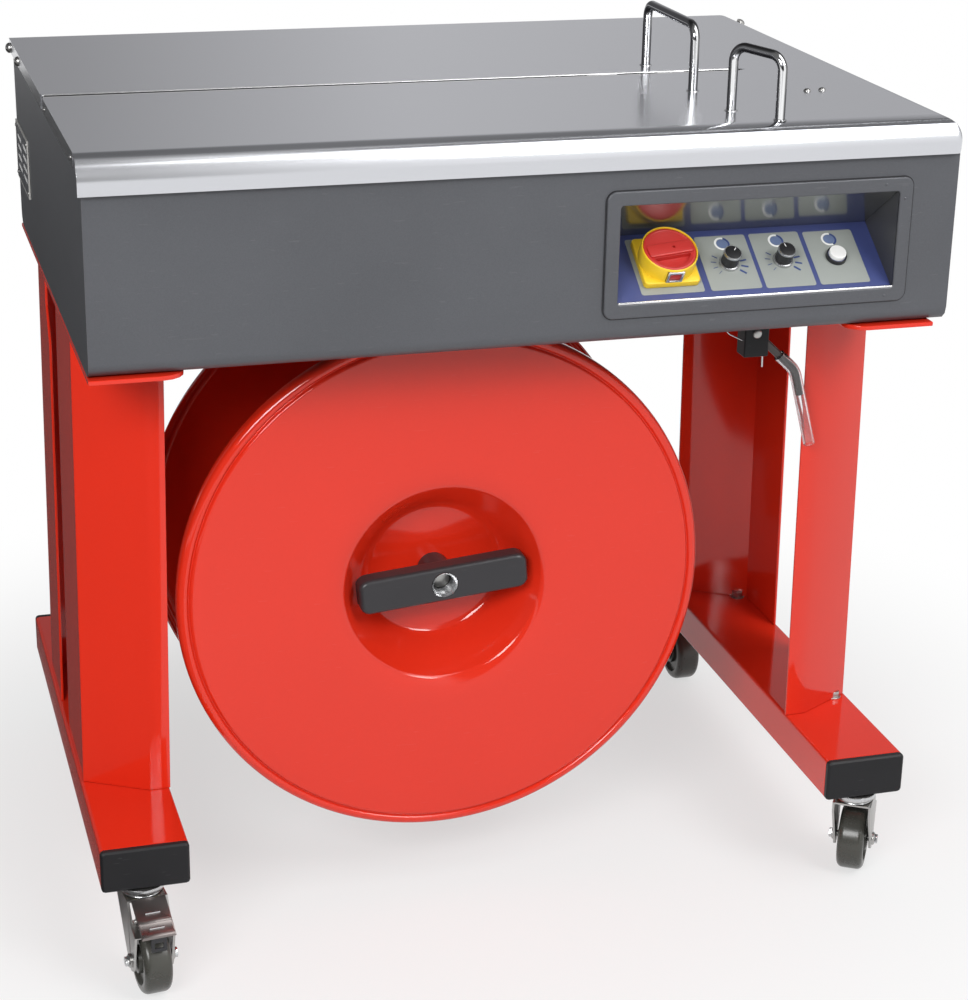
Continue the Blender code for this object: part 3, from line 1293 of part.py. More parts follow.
def make_lever():
    """Make the brake lever, its block under the base plate and its clear sleeve."""
    pivot_z = BASE_BOTTOM - LEVER_PIVOT_DROP
    half = LEVER_BLOCK / 2
    depth = LEVER_BLOCK_DEPTH / 2
    top = BASE_BOTTOM - GAP
    body = block((LEVER_X - half, LEVER_Y - depth, top - LEVER_BLOCK_HEIGHT),
                 (LEVER_X + half, LEVER_Y + depth, top))
    slit = LEVER_ROD / 2 + RUNNING_GAP
    room = LEVER_HUB / 2 + RUNNING_GAP
    mouth = block((LEVER_X - room, LEVER_Y - slit, top - LEVER_BLOCK_HEIGHT - OVERRUN),
                  (LEVER_X + half + OVERRUN, LEVER_Y + slit, pivot_z + room))
    pin = drum("Y", (LEVER_X, 0, pivot_z), LEVER_ROD / 2, LEVER_Y - depth + SOFT_EDGE,
               LEVER_Y + depth - SOFT_EDGE, 16)
    block_body = united(cut(softened(body), mouth), pin)
    add_piece("lever_block", block_body, "black")

    bend = Vector((LEVER_X + LEVER_SLOPE_X, LEVER_Y, pivot_z - LEVER_SLOPE_Z))
    end = bend + Vector((LEVER_DOWN_X, 0, -LEVER_DOWN_Z))
    pivot = Vector((LEVER_X, LEVER_Y, pivot_z))
    along = (bend - pivot).normalized()
    start = pivot + along * (LEVER_HUB / 2 - SOFT_EDGE)
    rod = swept(bent_path([start, bend, end], LEVER_BEND, 5), LEVER_ROD / 2)
    hub_half = LEVER_ROD / 2
    hub = drum("Y", (LEVER_X, 0, pivot_z), LEVER_HUB / 2, LEVER_Y - hub_half, LEVER_Y + hub_half)
    eye = drum("Y", (LEVER_X, 0, pivot_z), LEVER_ROD / 2 + RUNNING_GAP,
               LEVER_Y - hub_half - OVERRUN, LEVER_Y + hub_half + OVERRUN, 16)
    add_piece("brake_lever", cut(united(rod, hub), eye), "zinc", pivot, True)
    begin = pivot + along * (half * math.sqrt(2) + SLEEVE_START)
    tip = end + (end - bend).normalized() * SLEEVE_OVERHANG
    sleeve = swept(bent_path([begin, bend, tip], LEVER_BEND, 5), SLEEVE_DIAMETER / 2, 12,
                   LEVER_ROD / 2 + GAP)
    add_piece("lever_sleeve", sleeve, "clear", pivot, True)


def make_motor():
    """Make the motor, the gearbox and the belt drive between them."""
    foot = BASE_TOP + GAP
    radius = MOTOR_DIAMETER / 2
    motor_z = foot + MOTOR_LIFT + radius
    back = MOTOR_FRONT + MOTOR_LENGTH
    motor = turned([(0, MOTOR_FRONT), (radius - MOTOR_LIFT, MOTOR_FRONT),
                    (radius, MOTOR_FRONT + MOTOR_LIFT), (radius, back - MOTOR_LIFT),
                    (radius - MOTOR_LIFT, back), (0, back)], "Y", (MOTOR_X, 0, motor_z))
    feet = block((MOTOR_X - MOTOR_FOOT_WIDTH / 2, MOTOR_FRONT + MOTOR_LIFT * 3, foot),
                 (MOTOR_X + MOTOR_FOOT_WIDTH / 2, back - MOTOR_LIFT * 3,
                  foot + MOTOR_LIFT * 2))
    reach = PULLEY_SHAFT_REACH + GAP
    socket = drum("Y", (MOTOR_X, 0, motor_z), PULLEY_SHAFT / 2 + RUNNING_GAP, back - reach,
                  back + OVERRUN, 16)
    add_piece("motor", cut(united(motor, feet), socket), "grey", smooth=True)

    face = back + PULLEY_STANDOFF
    gear_back = back
    gear_front = gear_back - GEARBOX_DEPTH
    half = GEARBOX_WIDTH / 2
    gear_z = foot + GEARBOX_SHAFT_RISE
    cam_z = foot + CAM_RISE
    case = softened(block((GEARBOX_X - half, gear_front, foot),
                          (GEARBOX_X + half, gear_back, foot + GEARBOX_HEIGHT)), SOFT_EDGE * 3)
    input_socket = drum("Y", (GEARBOX_X, 0, gear_z), PULLEY_SHAFT / 2 + RUNNING_GAP,
                        gear_back - reach, gear_back + OVERRUN, 16)
    cam_socket = drum("Y", (GEARBOX_X, 0, cam_z), CAM_SHAFT / 2 + RUNNING_GAP,
                      gear_front - OVERRUN, gear_front + CAM_SOCKET + GAP, 16)
    add_piece("gearbox", cut(case, input_socket, cam_socket), "grey")

    wheels = (("motor_pulley", MOTOR_X, motor_z, PULLEY_SMALL),
              ("gear_pulley", GEARBOX_X, gear_z, PULLEY_LARGE))
    for name, across, height, size in wheels:
        shaft = PULLEY_SHAFT / 2
        profile = [(0, back - PULLEY_SHAFT_REACH), (shaft, back - PULLEY_SHAFT_REACH),
                   (shaft, face), (size / 2, face), (size / 2, face + PULLEY_WIDTH),
                   (0, face + PULLEY_WIDTH)]
        pulley = turned(profile, "Y", (across, 0, height))
        add_piece(name, pulley, "steel", (across, face, height), True)

    belt_low = face + (PULLEY_WIDTH - BELT_WIDTH) / 2
    loops = []
    for extra in (GAP + BELT_THICKNESS, GAP):
        loops.append(belt_outline((MOTOR_X, motor_z, PULLEY_SMALL / 2 + extra),
                                  (GEARBOX_X, gear_z, PULLEY_LARGE / 2 + extra)))
    belt = hollow_prism(loops[0], loops[1], "Y", belt_low, belt_low + BELT_WIDTH)
    add_piece("drive_belt", belt, "rubber", smooth=True)

    head_back = HEAD_BACK
    start = head_back - CAM_SOCKET
    stop = gear_front + CAM_SOCKET
    shaft = drum("Y", (GEARBOX_X, 0, cam_z), CAM_SHAFT / 2, start, stop, 16)
    cams = []
    for index in range(2):
        low = head_back + CAM_PITCH / 2 + CAM_PITCH * index
        throw = CAM_THROW if index == 0 else -CAM_THROW
        cams.append(drum("Y", (GEARBOX_X + throw, 0, cam_z), CAM_DIAMETER / 2, low,
                         low + CAM_WIDTH))
    add_piece("cam_shaft", united(shaft, *cams), "steel", (GEARBOX_X, head_back, cam_z), True)


def belt_outline(first, second, steps=24):
    """Return the outline of a band round two circles, each (x, z, radius)."""
    across = second[0] - first[0]
    up = second[1] - first[1]
    span = math.hypot(across, up)
    lean = math.atan2(up, across)
    open_angle = math.acos((first[2] - second[2]) / span)
    points = []
    for (middle_x, middle_z, radius), start, stop in (
            (first, lean + open_angle, lean + 2 * math.pi - open_angle),
            (second, lean - open_angle, lean + open_angle)):
        for step in range(steps + 1):
            turn = start + (stop - start) * step / steps
            points.append((middle_x + radius * math.cos(turn), middle_z + radius * math.sin(turn)))
    return points


def make_sealing_head():
    """Make the sealing head, whose tongue reaches up into the slot."""
    foot = BASE_TOP + GAP
    half = HEAD_WIDTH / 2
    track_low = TABLE_TOP - TRACK_DEPTH
    top = track_low - HEAD_LID_GAP
    shoulder = top - HEAD_SHOULDER
    body = block((GEARBOX_X - half, -HEAD_FRONT, foot), (GEARBOX_X + half, HEAD_BACK, shoulder))
    neck = block((GEARBOX_X - half, -HEAD_FRONT + HEAD_NECK_MARGIN, shoulder - SOFT_EDGE),
                 (GEARBOX_X + half, HEAD_BACK - HEAD_NECK_MARGIN, top))
    wide = TONGUE_WIDTH / 2
    high = TABLE_TOP - TONGUE_SINK
    inset = SOFT_EDGE * 3
    start = GEARBOX_X - half + inset
    stop = GEARBOX_X + half - inset
    outline = [(start, top - SOFT_EDGE), (start, high), (start + TONGUE_LEFT, high),
               (start + TONGUE_LEFT, high - TONGUE_DIP), (stop - TONGUE_RIGHT, high - TONGUE_DIP),
               (stop - TONGUE_RIGHT, high), (stop, high), (stop, top - SOFT_EDGE)]
    tongue = prism(outline, "Y", -SLOT_SETBACK - wide, -SLOT_SETBACK + wide)
    cam_z = foot + CAM_RISE
    socket = drum("Y", (GEARBOX_X, 0, cam_z), CAM_SHAFT / 2 + RUNNING_GAP,
                  HEAD_BACK - CAM_SOCKET - GAP, HEAD_BACK + OVERRUN, 16)
    add_piece("sealing_head", cut(united(body, neck, tongue), socket), "steel")


def make_rollers():
    """Make the feed and pinch rollers on their plate."""
    foot = BASE_TOP + GAP
    plate_y = -SLOT_SETBACK + ROLLER_SETBACK
    half = ROLLER_PLATE_WIDTH / 2
    plate = block((ROLLER_X - half, plate_y, foot),
                  (ROLLER_X + half, plate_y + ROLLER_PLATE_SHEET, foot + ROLLER_PLATE_HEIGHT))
    flange = block((ROLLER_X - half, plate_y + ROLLER_PLATE_SHEET / 2, foot),
                   (ROLLER_X + half, plate_y + ROLLER_PLATE_FOOT, foot + ROLLER_PLATE_SHEET))
    feed_z = foot + ROLLER_LIFT
    pinch_z = feed_z + FEED_ROLLER / 2 + ROLLER_STRAP_GAP + PINCH_ROLLER / 2
    holes = []
    for height in (feed_z, pinch_z):
        holes.append(drum("Y", (ROLLER_X, 0, height), ROLLER_SHAFT / 2 + RUNNING_GAP,
                          plate_y - OVERRUN, plate_y + ROLLER_PLATE_SHEET + OVERRUN, 16))
    add_piece("roller_plate", cut(united(plate, flange), *holes), "steel")
    low = -SLOT_SETBACK - ROLLER_WIDTH / 2
    shaft = ROLLER_SHAFT / 2
    tail = plate_y + ROLLER_PLATE_SHEET + ROLLER_SHAFT / 2
    for name, height, size in (("feed_roller", feed_z, FEED_ROLLER),
                               ("pinch_roller", pinch_z, PINCH_ROLLER)):
        profile = [(0, low), (size / 2, low), (size / 2, low + ROLLER_WIDTH),
                   (ROLLER_SHAFT, low + ROLLER_WIDTH), (ROLLER_SHAFT, plate_y - GAP),
                   (shaft, plate_y - GAP), (shaft, tail), (0, tail)]
        roller = turned(profile, "Y", (ROLLER_X, 0, height))
        add_piece(name, roller, "rubber", (ROLLER_X, -SLOT_SETBACK, height), True)


def make_electrics():
    """Make the transformer, the control box and the power inlet."""
    foot = BASE_TOP + GAP
    core = block((TRANSFORMER_X - TRANSFORMER_WIDTH / 2, TRANSFORMER_Y - TRANSFORMER_DEPTH / 2,
                  foot),
                 (TRANSFORMER_X + TRANSFORMER_WIDTH / 2, TRANSFORMER_Y + TRANSFORMER_DEPTH / 2,
                  foot + TRANSFORMER_HEIGHT))
    coil_low = foot + (TRANSFORMER_HEIGHT - COIL_HEIGHT) / 2
    coil = softened(block((TRANSFORMER_X - COIL_WIDTH / 2, TRANSFORMER_Y - COIL_DEPTH / 2,
                           coil_low),
                          (TRANSFORMER_X + COIL_WIDTH / 2, TRANSFORMER_Y + COIL_DEPTH / 2,
                           coil_low + COIL_HEIGHT)), SOFT_EDGE * 3)
    add_piece("transformer", united(core, coil), "copper")
    box = softened(block((BOX_X - BOX_WIDTH / 2, BOX_Y - BOX_DEPTH / 2, foot),
                         (BOX_X + BOX_WIDTH / 2, BOX_Y + BOX_DEPTH / 2, foot + BOX_HEIGHT)))
    add_piece("control_box", box, "grey")

    low = HOUSING_REAR - HOUSING_WALL - INLET_BODY
    body = prism(inlet_outline(0), "Y", low, HOUSING_REAR + GAP + INLET_PROUD / 2)
    face = prism(inlet_outline(INLET_FLANGE), "Y", HOUSING_REAR + GAP,
                 HOUSING_REAR + GAP + INLET_PROUD)
    socket = prism(inlet_outline(-INLET_BORDER), "Y", HOUSING_REAR - INLET_SOCKET,
                   HOUSING_REAR + INLET_PROUD + OVERRUN)
    add_piece("power_inlet", cut(united(body, face), socket), "black")


def inlet_outline(margin):
    """Return the power inlet's outline in X and Z, grown by a margin."""
    middle = BASE_TOP + INLET_RISE
    return rectangle(INLET_X - INLET_WIDTH / 2 - margin, middle - INLET_HEIGHT / 2 - margin,
                     INLET_X + INLET_WIDTH / 2 + margin, middle + INLET_HEIGHT / 2 + margin)


def main():
    """Build every piece of the machine."""
    clear_scene()
    make_feet()
    make_foot_caps()
    make_legs()
    make_top_rails()
    make_base_plate()
    make_housing()
    make_vent()
    make_table()
    make_strap_track()
    make_u_bars()
    make_hinge_rod()
    make_bezel()
    make_panel()
    make_controls()
    make_casters()
    make_reel()
    make_handle()
    make_lever()
    make_motor()
    make_sealing_head()
    make_rollers()
    make_electrics()


main()
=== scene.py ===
"""Visual model of a paper banding machine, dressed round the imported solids.

Metres, +Z up, the front faces -Y. Every size is the machine's own.
"""

import json
import logging
import math
from dataclasses import dataclass, field
from enum import Enum
from typing import Callable, Iterable, Optional, Sequence

import bmesh
import bpy
from mathutils import Matrix, Vector

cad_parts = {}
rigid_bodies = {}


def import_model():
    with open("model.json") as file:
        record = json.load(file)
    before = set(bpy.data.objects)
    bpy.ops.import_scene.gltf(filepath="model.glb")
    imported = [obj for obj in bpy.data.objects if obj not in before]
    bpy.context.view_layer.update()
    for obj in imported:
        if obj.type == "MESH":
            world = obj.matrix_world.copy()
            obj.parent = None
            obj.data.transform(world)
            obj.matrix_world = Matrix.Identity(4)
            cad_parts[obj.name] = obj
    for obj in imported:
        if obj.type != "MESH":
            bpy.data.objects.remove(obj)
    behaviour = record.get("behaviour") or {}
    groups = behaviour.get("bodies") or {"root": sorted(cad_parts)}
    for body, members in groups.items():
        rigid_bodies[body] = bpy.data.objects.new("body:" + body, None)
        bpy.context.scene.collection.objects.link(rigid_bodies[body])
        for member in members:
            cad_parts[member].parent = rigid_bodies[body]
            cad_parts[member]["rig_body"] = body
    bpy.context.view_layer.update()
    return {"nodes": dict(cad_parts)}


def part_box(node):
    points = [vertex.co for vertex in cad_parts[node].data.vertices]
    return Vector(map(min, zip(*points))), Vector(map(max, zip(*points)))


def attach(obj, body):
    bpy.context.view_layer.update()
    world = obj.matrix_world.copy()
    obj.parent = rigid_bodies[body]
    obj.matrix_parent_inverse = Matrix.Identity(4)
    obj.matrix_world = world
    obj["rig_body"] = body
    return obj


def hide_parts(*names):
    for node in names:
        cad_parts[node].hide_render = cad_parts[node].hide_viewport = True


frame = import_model()

LOG = logging.getLogger("banding_machine")
MM = 0.001

MERGE = 0.000002
CREST = 34.0
SCUFF_TONE, SCUFF_SHEEN = 0.15, 0.12
DUST_COLOUR = (0.42, 0.40, 0.37, 1.0)
UP, BACK, RIGHT = Vector((0, 0, 1)), Vector((0, 1, 0)), Vector((1, 0, 0))

Point = tuple[float, float]
Colour = tuple[float, float, float]
Piece = bpy.types.Object
Socket = bpy.types.NodeSocket


class Axis(Enum):
    """The axis that a piece is turned about or pulled along."""

    X = (1.0, 0.0, 0.0)
    Y = (0.0, 1.0, 0.0)
    Z = (0.0, 0.0, 1.0)

    @property
    def vector(self) -> Vector:
        """Return the axis as a vector."""
        return Vector(self.value)

    @property
    def across(self) -> Vector:
        """Return the direction in which a turned profile's radius is drawn."""
        return Vector((0.0, 1.0, 0.0)) if self is Axis.X else Vector((1.0, 0.0, 0.0))


class Texture(Enum):
    """The fine pattern that a finish shows."""

    GRAIN = "grain"
    BRUSHED = "brushed"
    FLAKE = "flake"
    PEEL = "peel"
    CAST = "cast"


class Wiring:
    """The nodes and links of one shader tree."""

    def __init__(self, tree: bpy.types.NodeTree) -> None:
        """Keep the tree's nodes and links."""
        self.nodes, self.links = tree.nodes, tree.links

    def feed(self, node: bpy.types.Node, values: dict) -> None:
        """Fill a node's inputs by label or number: a socket is linked, a value is set."""
        for label, value in values.items():
            if isinstance(value, Socket):
                self.links.new(value, node.inputs[label])
            else:
                node.inputs[label].default_value = value

    def node(self, kind: str, values: dict, **settings) -> bpy.types.Node:
        """Place a node with its settings, fill its inputs and return it."""
        node = self.nodes.new("ShaderNode" + kind)
        for label, value in settings.items():
            setattr(node, label, value)
        self.feed(node, values)
        return node

    def take(self, kind: str, values: dict, output=0, **settings) -> Socket:
        """Place a node and return one of its outputs."""
        return self.node(kind, values, **settings).outputs[output]

    def place(self, kind: str) -> Socket:
        """Return one of the surface's coordinates."""
        return self.take("TexCoord", {}, kind)

    def group(self, tree: bpy.types.NodeTree, **values: float) -> Socket:
        """Place a node group with its values and return what it puts out."""
        inputs = {label.replace("_", " "): value for label, value in values.items()}
        return self.take("Group", inputs, node_tree=tree)

    def calc(self, operation: str, *terms, clamp: bool = False) -> Socket:
        """Return the result of an operation on numbers or sockets."""
        return self.take("Math", dict(enumerate(terms)), operation=operation, use_clamp=clamp)

    def mix(self, factor, first, second, kind: str = "MIX") -> Socket:
        """Return a mix of two colours."""
        return self.take("Mix", {0: factor, 6: first, 7: second}, 2, data_type="RGBA",
                         blend_type=kind)

    def ramp(self, factor: Socket, *stops: Sequence[float]) -> Socket:
        """Return a colour from a line of stops.

        Args:
            factor: What picks the place on the line.
            stops: Each stop's place with one level of grey or with three of red, green and blue.

        Returns:
            The colour.
        """
        node = self.node("ValToRGB", {"Fac": factor})
        line = node.color_ramp.elements
        line[0].position, line[1].position = stops[0][0], stops[-1][0]
        for made, (_, *tone) in ((line[0], stops[0]), (line[1], stops[-1])):
            made.color = (*(tone * 3)[:3], 1)
        for position, *tone in stops[1:-1]:
            line.new(position).color = (*(tone * 3)[:3], 1)
        return node.outputs["Color"]


class Patterns:
    """Shader node groups, each built once and placed in every finish."""

    @staticmethod
    def _group(name: str, inputs: dict[str, float],
               wire: Callable[[Wiring, bpy.types.NodeOutputs], Socket]
               ) -> bpy.types.NodeTree:
        """Return a group that puts out one value, wired at the first call.

        Args:
            name: The group's name.
            inputs: Its number sockets with their defaults.
            wire: Places its nodes and returns its value.

        Returns:
            The group.
        """
        tree = bpy.data.node_groups.get(name)
        if tree is not None:
            return tree
        tree = bpy.data.node_groups.new(name, "ShaderNodeTree")
        for label, value in inputs.items():
            socket = tree.interface.new_socket(label, in_out="INPUT", socket_type="NodeSocketFloat")
            socket.default_value = value
        tree.interface.new_socket("Value", in_out="OUTPUT", socket_type="NodeSocketFloat")
        source, sink = tree.nodes.new("NodeGroupInput"), tree.nodes.new("NodeGroupOutput")
        board = Wiring(tree)
        board.links.new(wire(board, source.outputs), sink.inputs[0])
        return tree

    @classmethod
    def grain(cls) -> bpy.types.NodeTree:
        """Return the group for fine even noise that can be drawn out along X."""
        def wire(board: Wiring, source: bpy.types.NodeOutputs) -> Socket:
            """Wire fine noise that can be drawn out along one axis."""
            stretch = board.take("CombineXYZ", {0: source["Along X"], 1: source["Along Y"],
                                                2: source["Along Z"]})
            drawn = board.take("VectorMath", {0: board.place("Object"), 1: stretch},
                               operation="MULTIPLY")
            return board.take("TexNoise", {"Vector": drawn, "Scale": source["Scale"],
                                           "Detail": source["Detail"], "Roughness": 0.62})
        inputs = {"Scale": 900.0, "Along X": 1.0, "Along Y": 1.0, "Along Z": 1.0, "Detail": 3.0}
        return cls._group("fine_grain", inputs, wire)

    @classmethod
    def flake(cls) -> bpy.types.NodeTree:
        """Return the group for metal flakes in paint, each with its own lightness."""
        def wire(board: Wiring, source: bpy.types.NodeOutputs) -> Socket:
            """Wire flakes that each have their own lightness."""
            cells = board.take("TexVoronoi", {"Vector": board.place("Object"),
                                              "Scale": source["Scale"]}, "Color")
            return board.take("SeparateColor", {0: cells})
        return cls._group("metal_flake", {"Scale": 1400.0}, wire)

    @classmethod
    def cloud(cls) -> bpy.types.NodeTree:
        """Return the group for broad soft patches, as handling leaves on a surface."""
        def wire(board: Wiring, source: bpy.types.NodeOutputs) -> Socket:
            """Wire broad soft patches."""
            noise = board.take("TexNoise", {"Vector": board.place("Object"), "Detail": 4.0,
                                            "Scale": source["Scale"], "Distortion": 0.4})
            return board.calc("MULTIPLY_ADD", board.calc("SUBTRACT", noise, 0.5),
                              source["Contrast"], 0.5, clamp=True)
        return cls._group("broad_cloud", {"Scale": 6.0, "Contrast": 2.0}, wire)

    @classmethod
    def scuffs(cls) -> bpy.types.NodeTree:
        """Return the group for sparse thin scratches in two directions."""
        def wire(board: Wiring, source: bpy.types.NodeOutputs) -> Socket:
            """Wire sparse thin scratches."""
            masks = []
            for turn in ((0.3, 0.2, 0.5), (1.1, 0.7, 2.1)):
                lay = board.take("Mapping", {"Vector": board.place("Object"), "Rotation": turn,
                                             "Scale": (1.0, 34.0, 9.0)})
                noise = board.take("TexNoise", {"Vector": lay, "Scale": source["Scale"],
                                                "Detail": 1.0})
                masks.append(board.calc("GREATER_THAN", noise, source["Rarity"]))
            return board.calc("MAXIMUM", *masks)
        return cls._group("thin_scuffs", {"Scale": 30.0, "Rarity": 0.70}, wire)

    @classmethod
    def dust(cls) -> bpy.types.NodeTree:
        """Return the group for dust that settles on faces that look up."""
        def wire(board: Wiring, source: bpy.types.NodeOutputs) -> Socket:
            """Wire dust on the faces that look up."""
            upward = board.take("SeparateXYZ", {0: board.place("Normal")}, "Z")
            noise = board.take("TexNoise", {"Vector": board.place("Object"), "Detail": 6.0,
                                            "Scale": source["Scale"]})
            share = board.calc("MULTIPLY", upward, noise, clamp=True)
            return board.calc("MULTIPLY", share, source["Amount"], clamp=True)
        return cls._group("settled_dust", {"Amount": 0.1, "Scale": 22.0}, wire)


def open_material(name: str) -> tuple[bpy.types.Material, Wiring, bpy.types.Node]:
    """Open a material and return it with its wiring and its shader."""
    made = bpy.data.materials.new(name)
    made.use_nodes = True
    return made, Wiring(made.node_tree), made.node_tree.nodes["Principled BSDF"]


@dataclass(frozen=True)
class Finish:
    """One opaque surface: its colour, sheen, fine pattern, wear and dust.

    Args:
        name: The material's name.
        colour: Linear colour.
        roughness: Middle of the roughness.
        metallic: 1 for bare metal, 0 for paint and plastic.
        texture: The fine pattern.
        scale: Its cells per metre.
        tone: Share by which the colour's lightness varies.
        polish: How far the roughness varies either way.
        relief: Height of the fine pattern in metres.
        cloud_scale: Patches per metre of the broad variation.
        scuff: How strongly scratches show, from 0 to 1.
        dust: How much dust lies on faces that look up.
        shine: Level of the reflection of paint and plastic, 0.5 at rest.
        painted_reflection: Whether a polished bar has a painted reflection: dark edges and two
            light lines put into its colour by how far it faces the view.
    """

    name: str
    colour: Colour
    roughness: float
    metallic: float = 0.0
    texture: Texture = Texture.GRAIN
    scale: float = 900.0
    tone: float = 0.10
    polish: float = 0.06
    relief: float = 0.00002
    cloud_scale: float = 7.0
    scuff: float = 0.25
    dust: float = 0.06
    shine: float = 0.5
    painted_reflection: bool = False

    def _fine(self, board: Wiring) -> Socket:
        """Place the group of the finish's fine pattern and return its value."""
        if self.texture is Texture.FLAKE:
            return board.group(Patterns.flake(), Scale=self.scale)
        values = {"Scale": self.scale, "Detail": 2.0 if self.texture is Texture.PEEL else 5.0}
        if self.texture is Texture.BRUSHED:
            values["Along_X"] = 0.012
        return board.group(Patterns.grain(), **values)

    def material(self) -> bpy.types.Material:
        """Return the finish as a material, built at the first call."""
        made = bpy.data.materials.get(self.name)
        if made is not None:
            return made
        made, board, shader = open_material(self.name)
        made.diffuse_color = (*self.colour, 1.0)
        fine = self._fine(board)
        broad = board.group(Patterns.cloud(), Scale=self.cloud_scale, Contrast=2.2)
        scuffs = board.group(Patterns.scuffs(), Scale=44.0, Rarity=0.755)
        dust = board.group(Patterns.dust(), Amount=self.dust, Scale=24.0)
        blend = board.calc("MULTIPLY_ADD", fine, 0.5, board.calc("MULTIPLY", broad, 0.5))
        tone = board.mix(blend, self._shade(1 - self.tone), self._shade(1 + self.tone))
        tone = board.mix(board.calc("MULTIPLY", scuffs, self.scuff * SCUFF_TONE), tone,
                         self._shade(1.0, 0.5))
        tone = board.mix(dust, tone, DUST_COLOUR)
        # Painted reflection: the colour is darkened at the edges and lit in two lines by the angle
        # to the view, standing in for what a chromed bar reflects.
        if self.painted_reflection:
            facing = board.take("LayerWeight", {"Blend": 0.5}, "Facing")
            reflection_paint = board.ramp(facing, (0.004, 0.12, 0.12, 0.13), (0.022, 1.0), (0.14, 1.0),
                                 (0.24, 0.40), (0.34, 0.16), (1.0, 0.26, 0.26, 0.28))
            tone = board.mix(1.0, tone, reflection_paint, "MULTIPLY")
        sheen = board.take("MapRange", {"Value": blend,
                                        "To Min": max(self.roughness - self.polish, 0.02),
                                        "To Max": min(self.roughness + self.polish, 1.0)})
        dulled = board.calc("MULTIPLY_ADD", scuffs, self.scuff * SCUFF_SHEEN, sheen, clamp=True)
        bump = board.take("Bump", {"Distance": self.relief, "Height": fine})
        board.feed(shader, {"Metallic": self.metallic, "Specular IOR Level": self.shine,
                            "Base Color": tone, "Roughness": dulled, "Normal": bump})
        return made

    def _shade(self, factor: float, lift: float = 0.0) -> tuple[float, float, float, float]:
        """Return the finish's colour times a factor, lifted towards white."""
        tone = [min(part * factor, 1.0) for part in self.colour]
        return tuple(part + (0.8 - part) * lift for part in tone) + (1.0,)


@dataclass(frozen=True)
class ClearFinish:
    """A clear plastic or lens.

    Args:
        name: The material's name.
        colour: Linear tint.
        roughness: How cloudy it is.
        ior: Index of refraction.
    """

    name: str
    colour: Colour
    roughness: float = 0.05
    ior: float = 1.45

    def material(self) -> bpy.types.Material:
        """Return the clear material, built at the first call."""
        made = bpy.data.materials.get(self.name)
        if made is not None:
            return made
        made, board, shader = open_material(self.name)
        made.diffuse_color = (*self.colour, 0.4)
        broad = board.group(Patterns.cloud(), Scale=60.0)
        sheen = board.take("MapRange", {"Value": broad, "To Min": self.roughness * 0.5,
                                        "To Max": self.roughness * 2.0})
        board.feed(shader, {"Transmission Weight": 1.0, "IOR": self.ior, "Roughness": sheen,
                            "Base Color": (*self.colour, 1.0)})
        return made


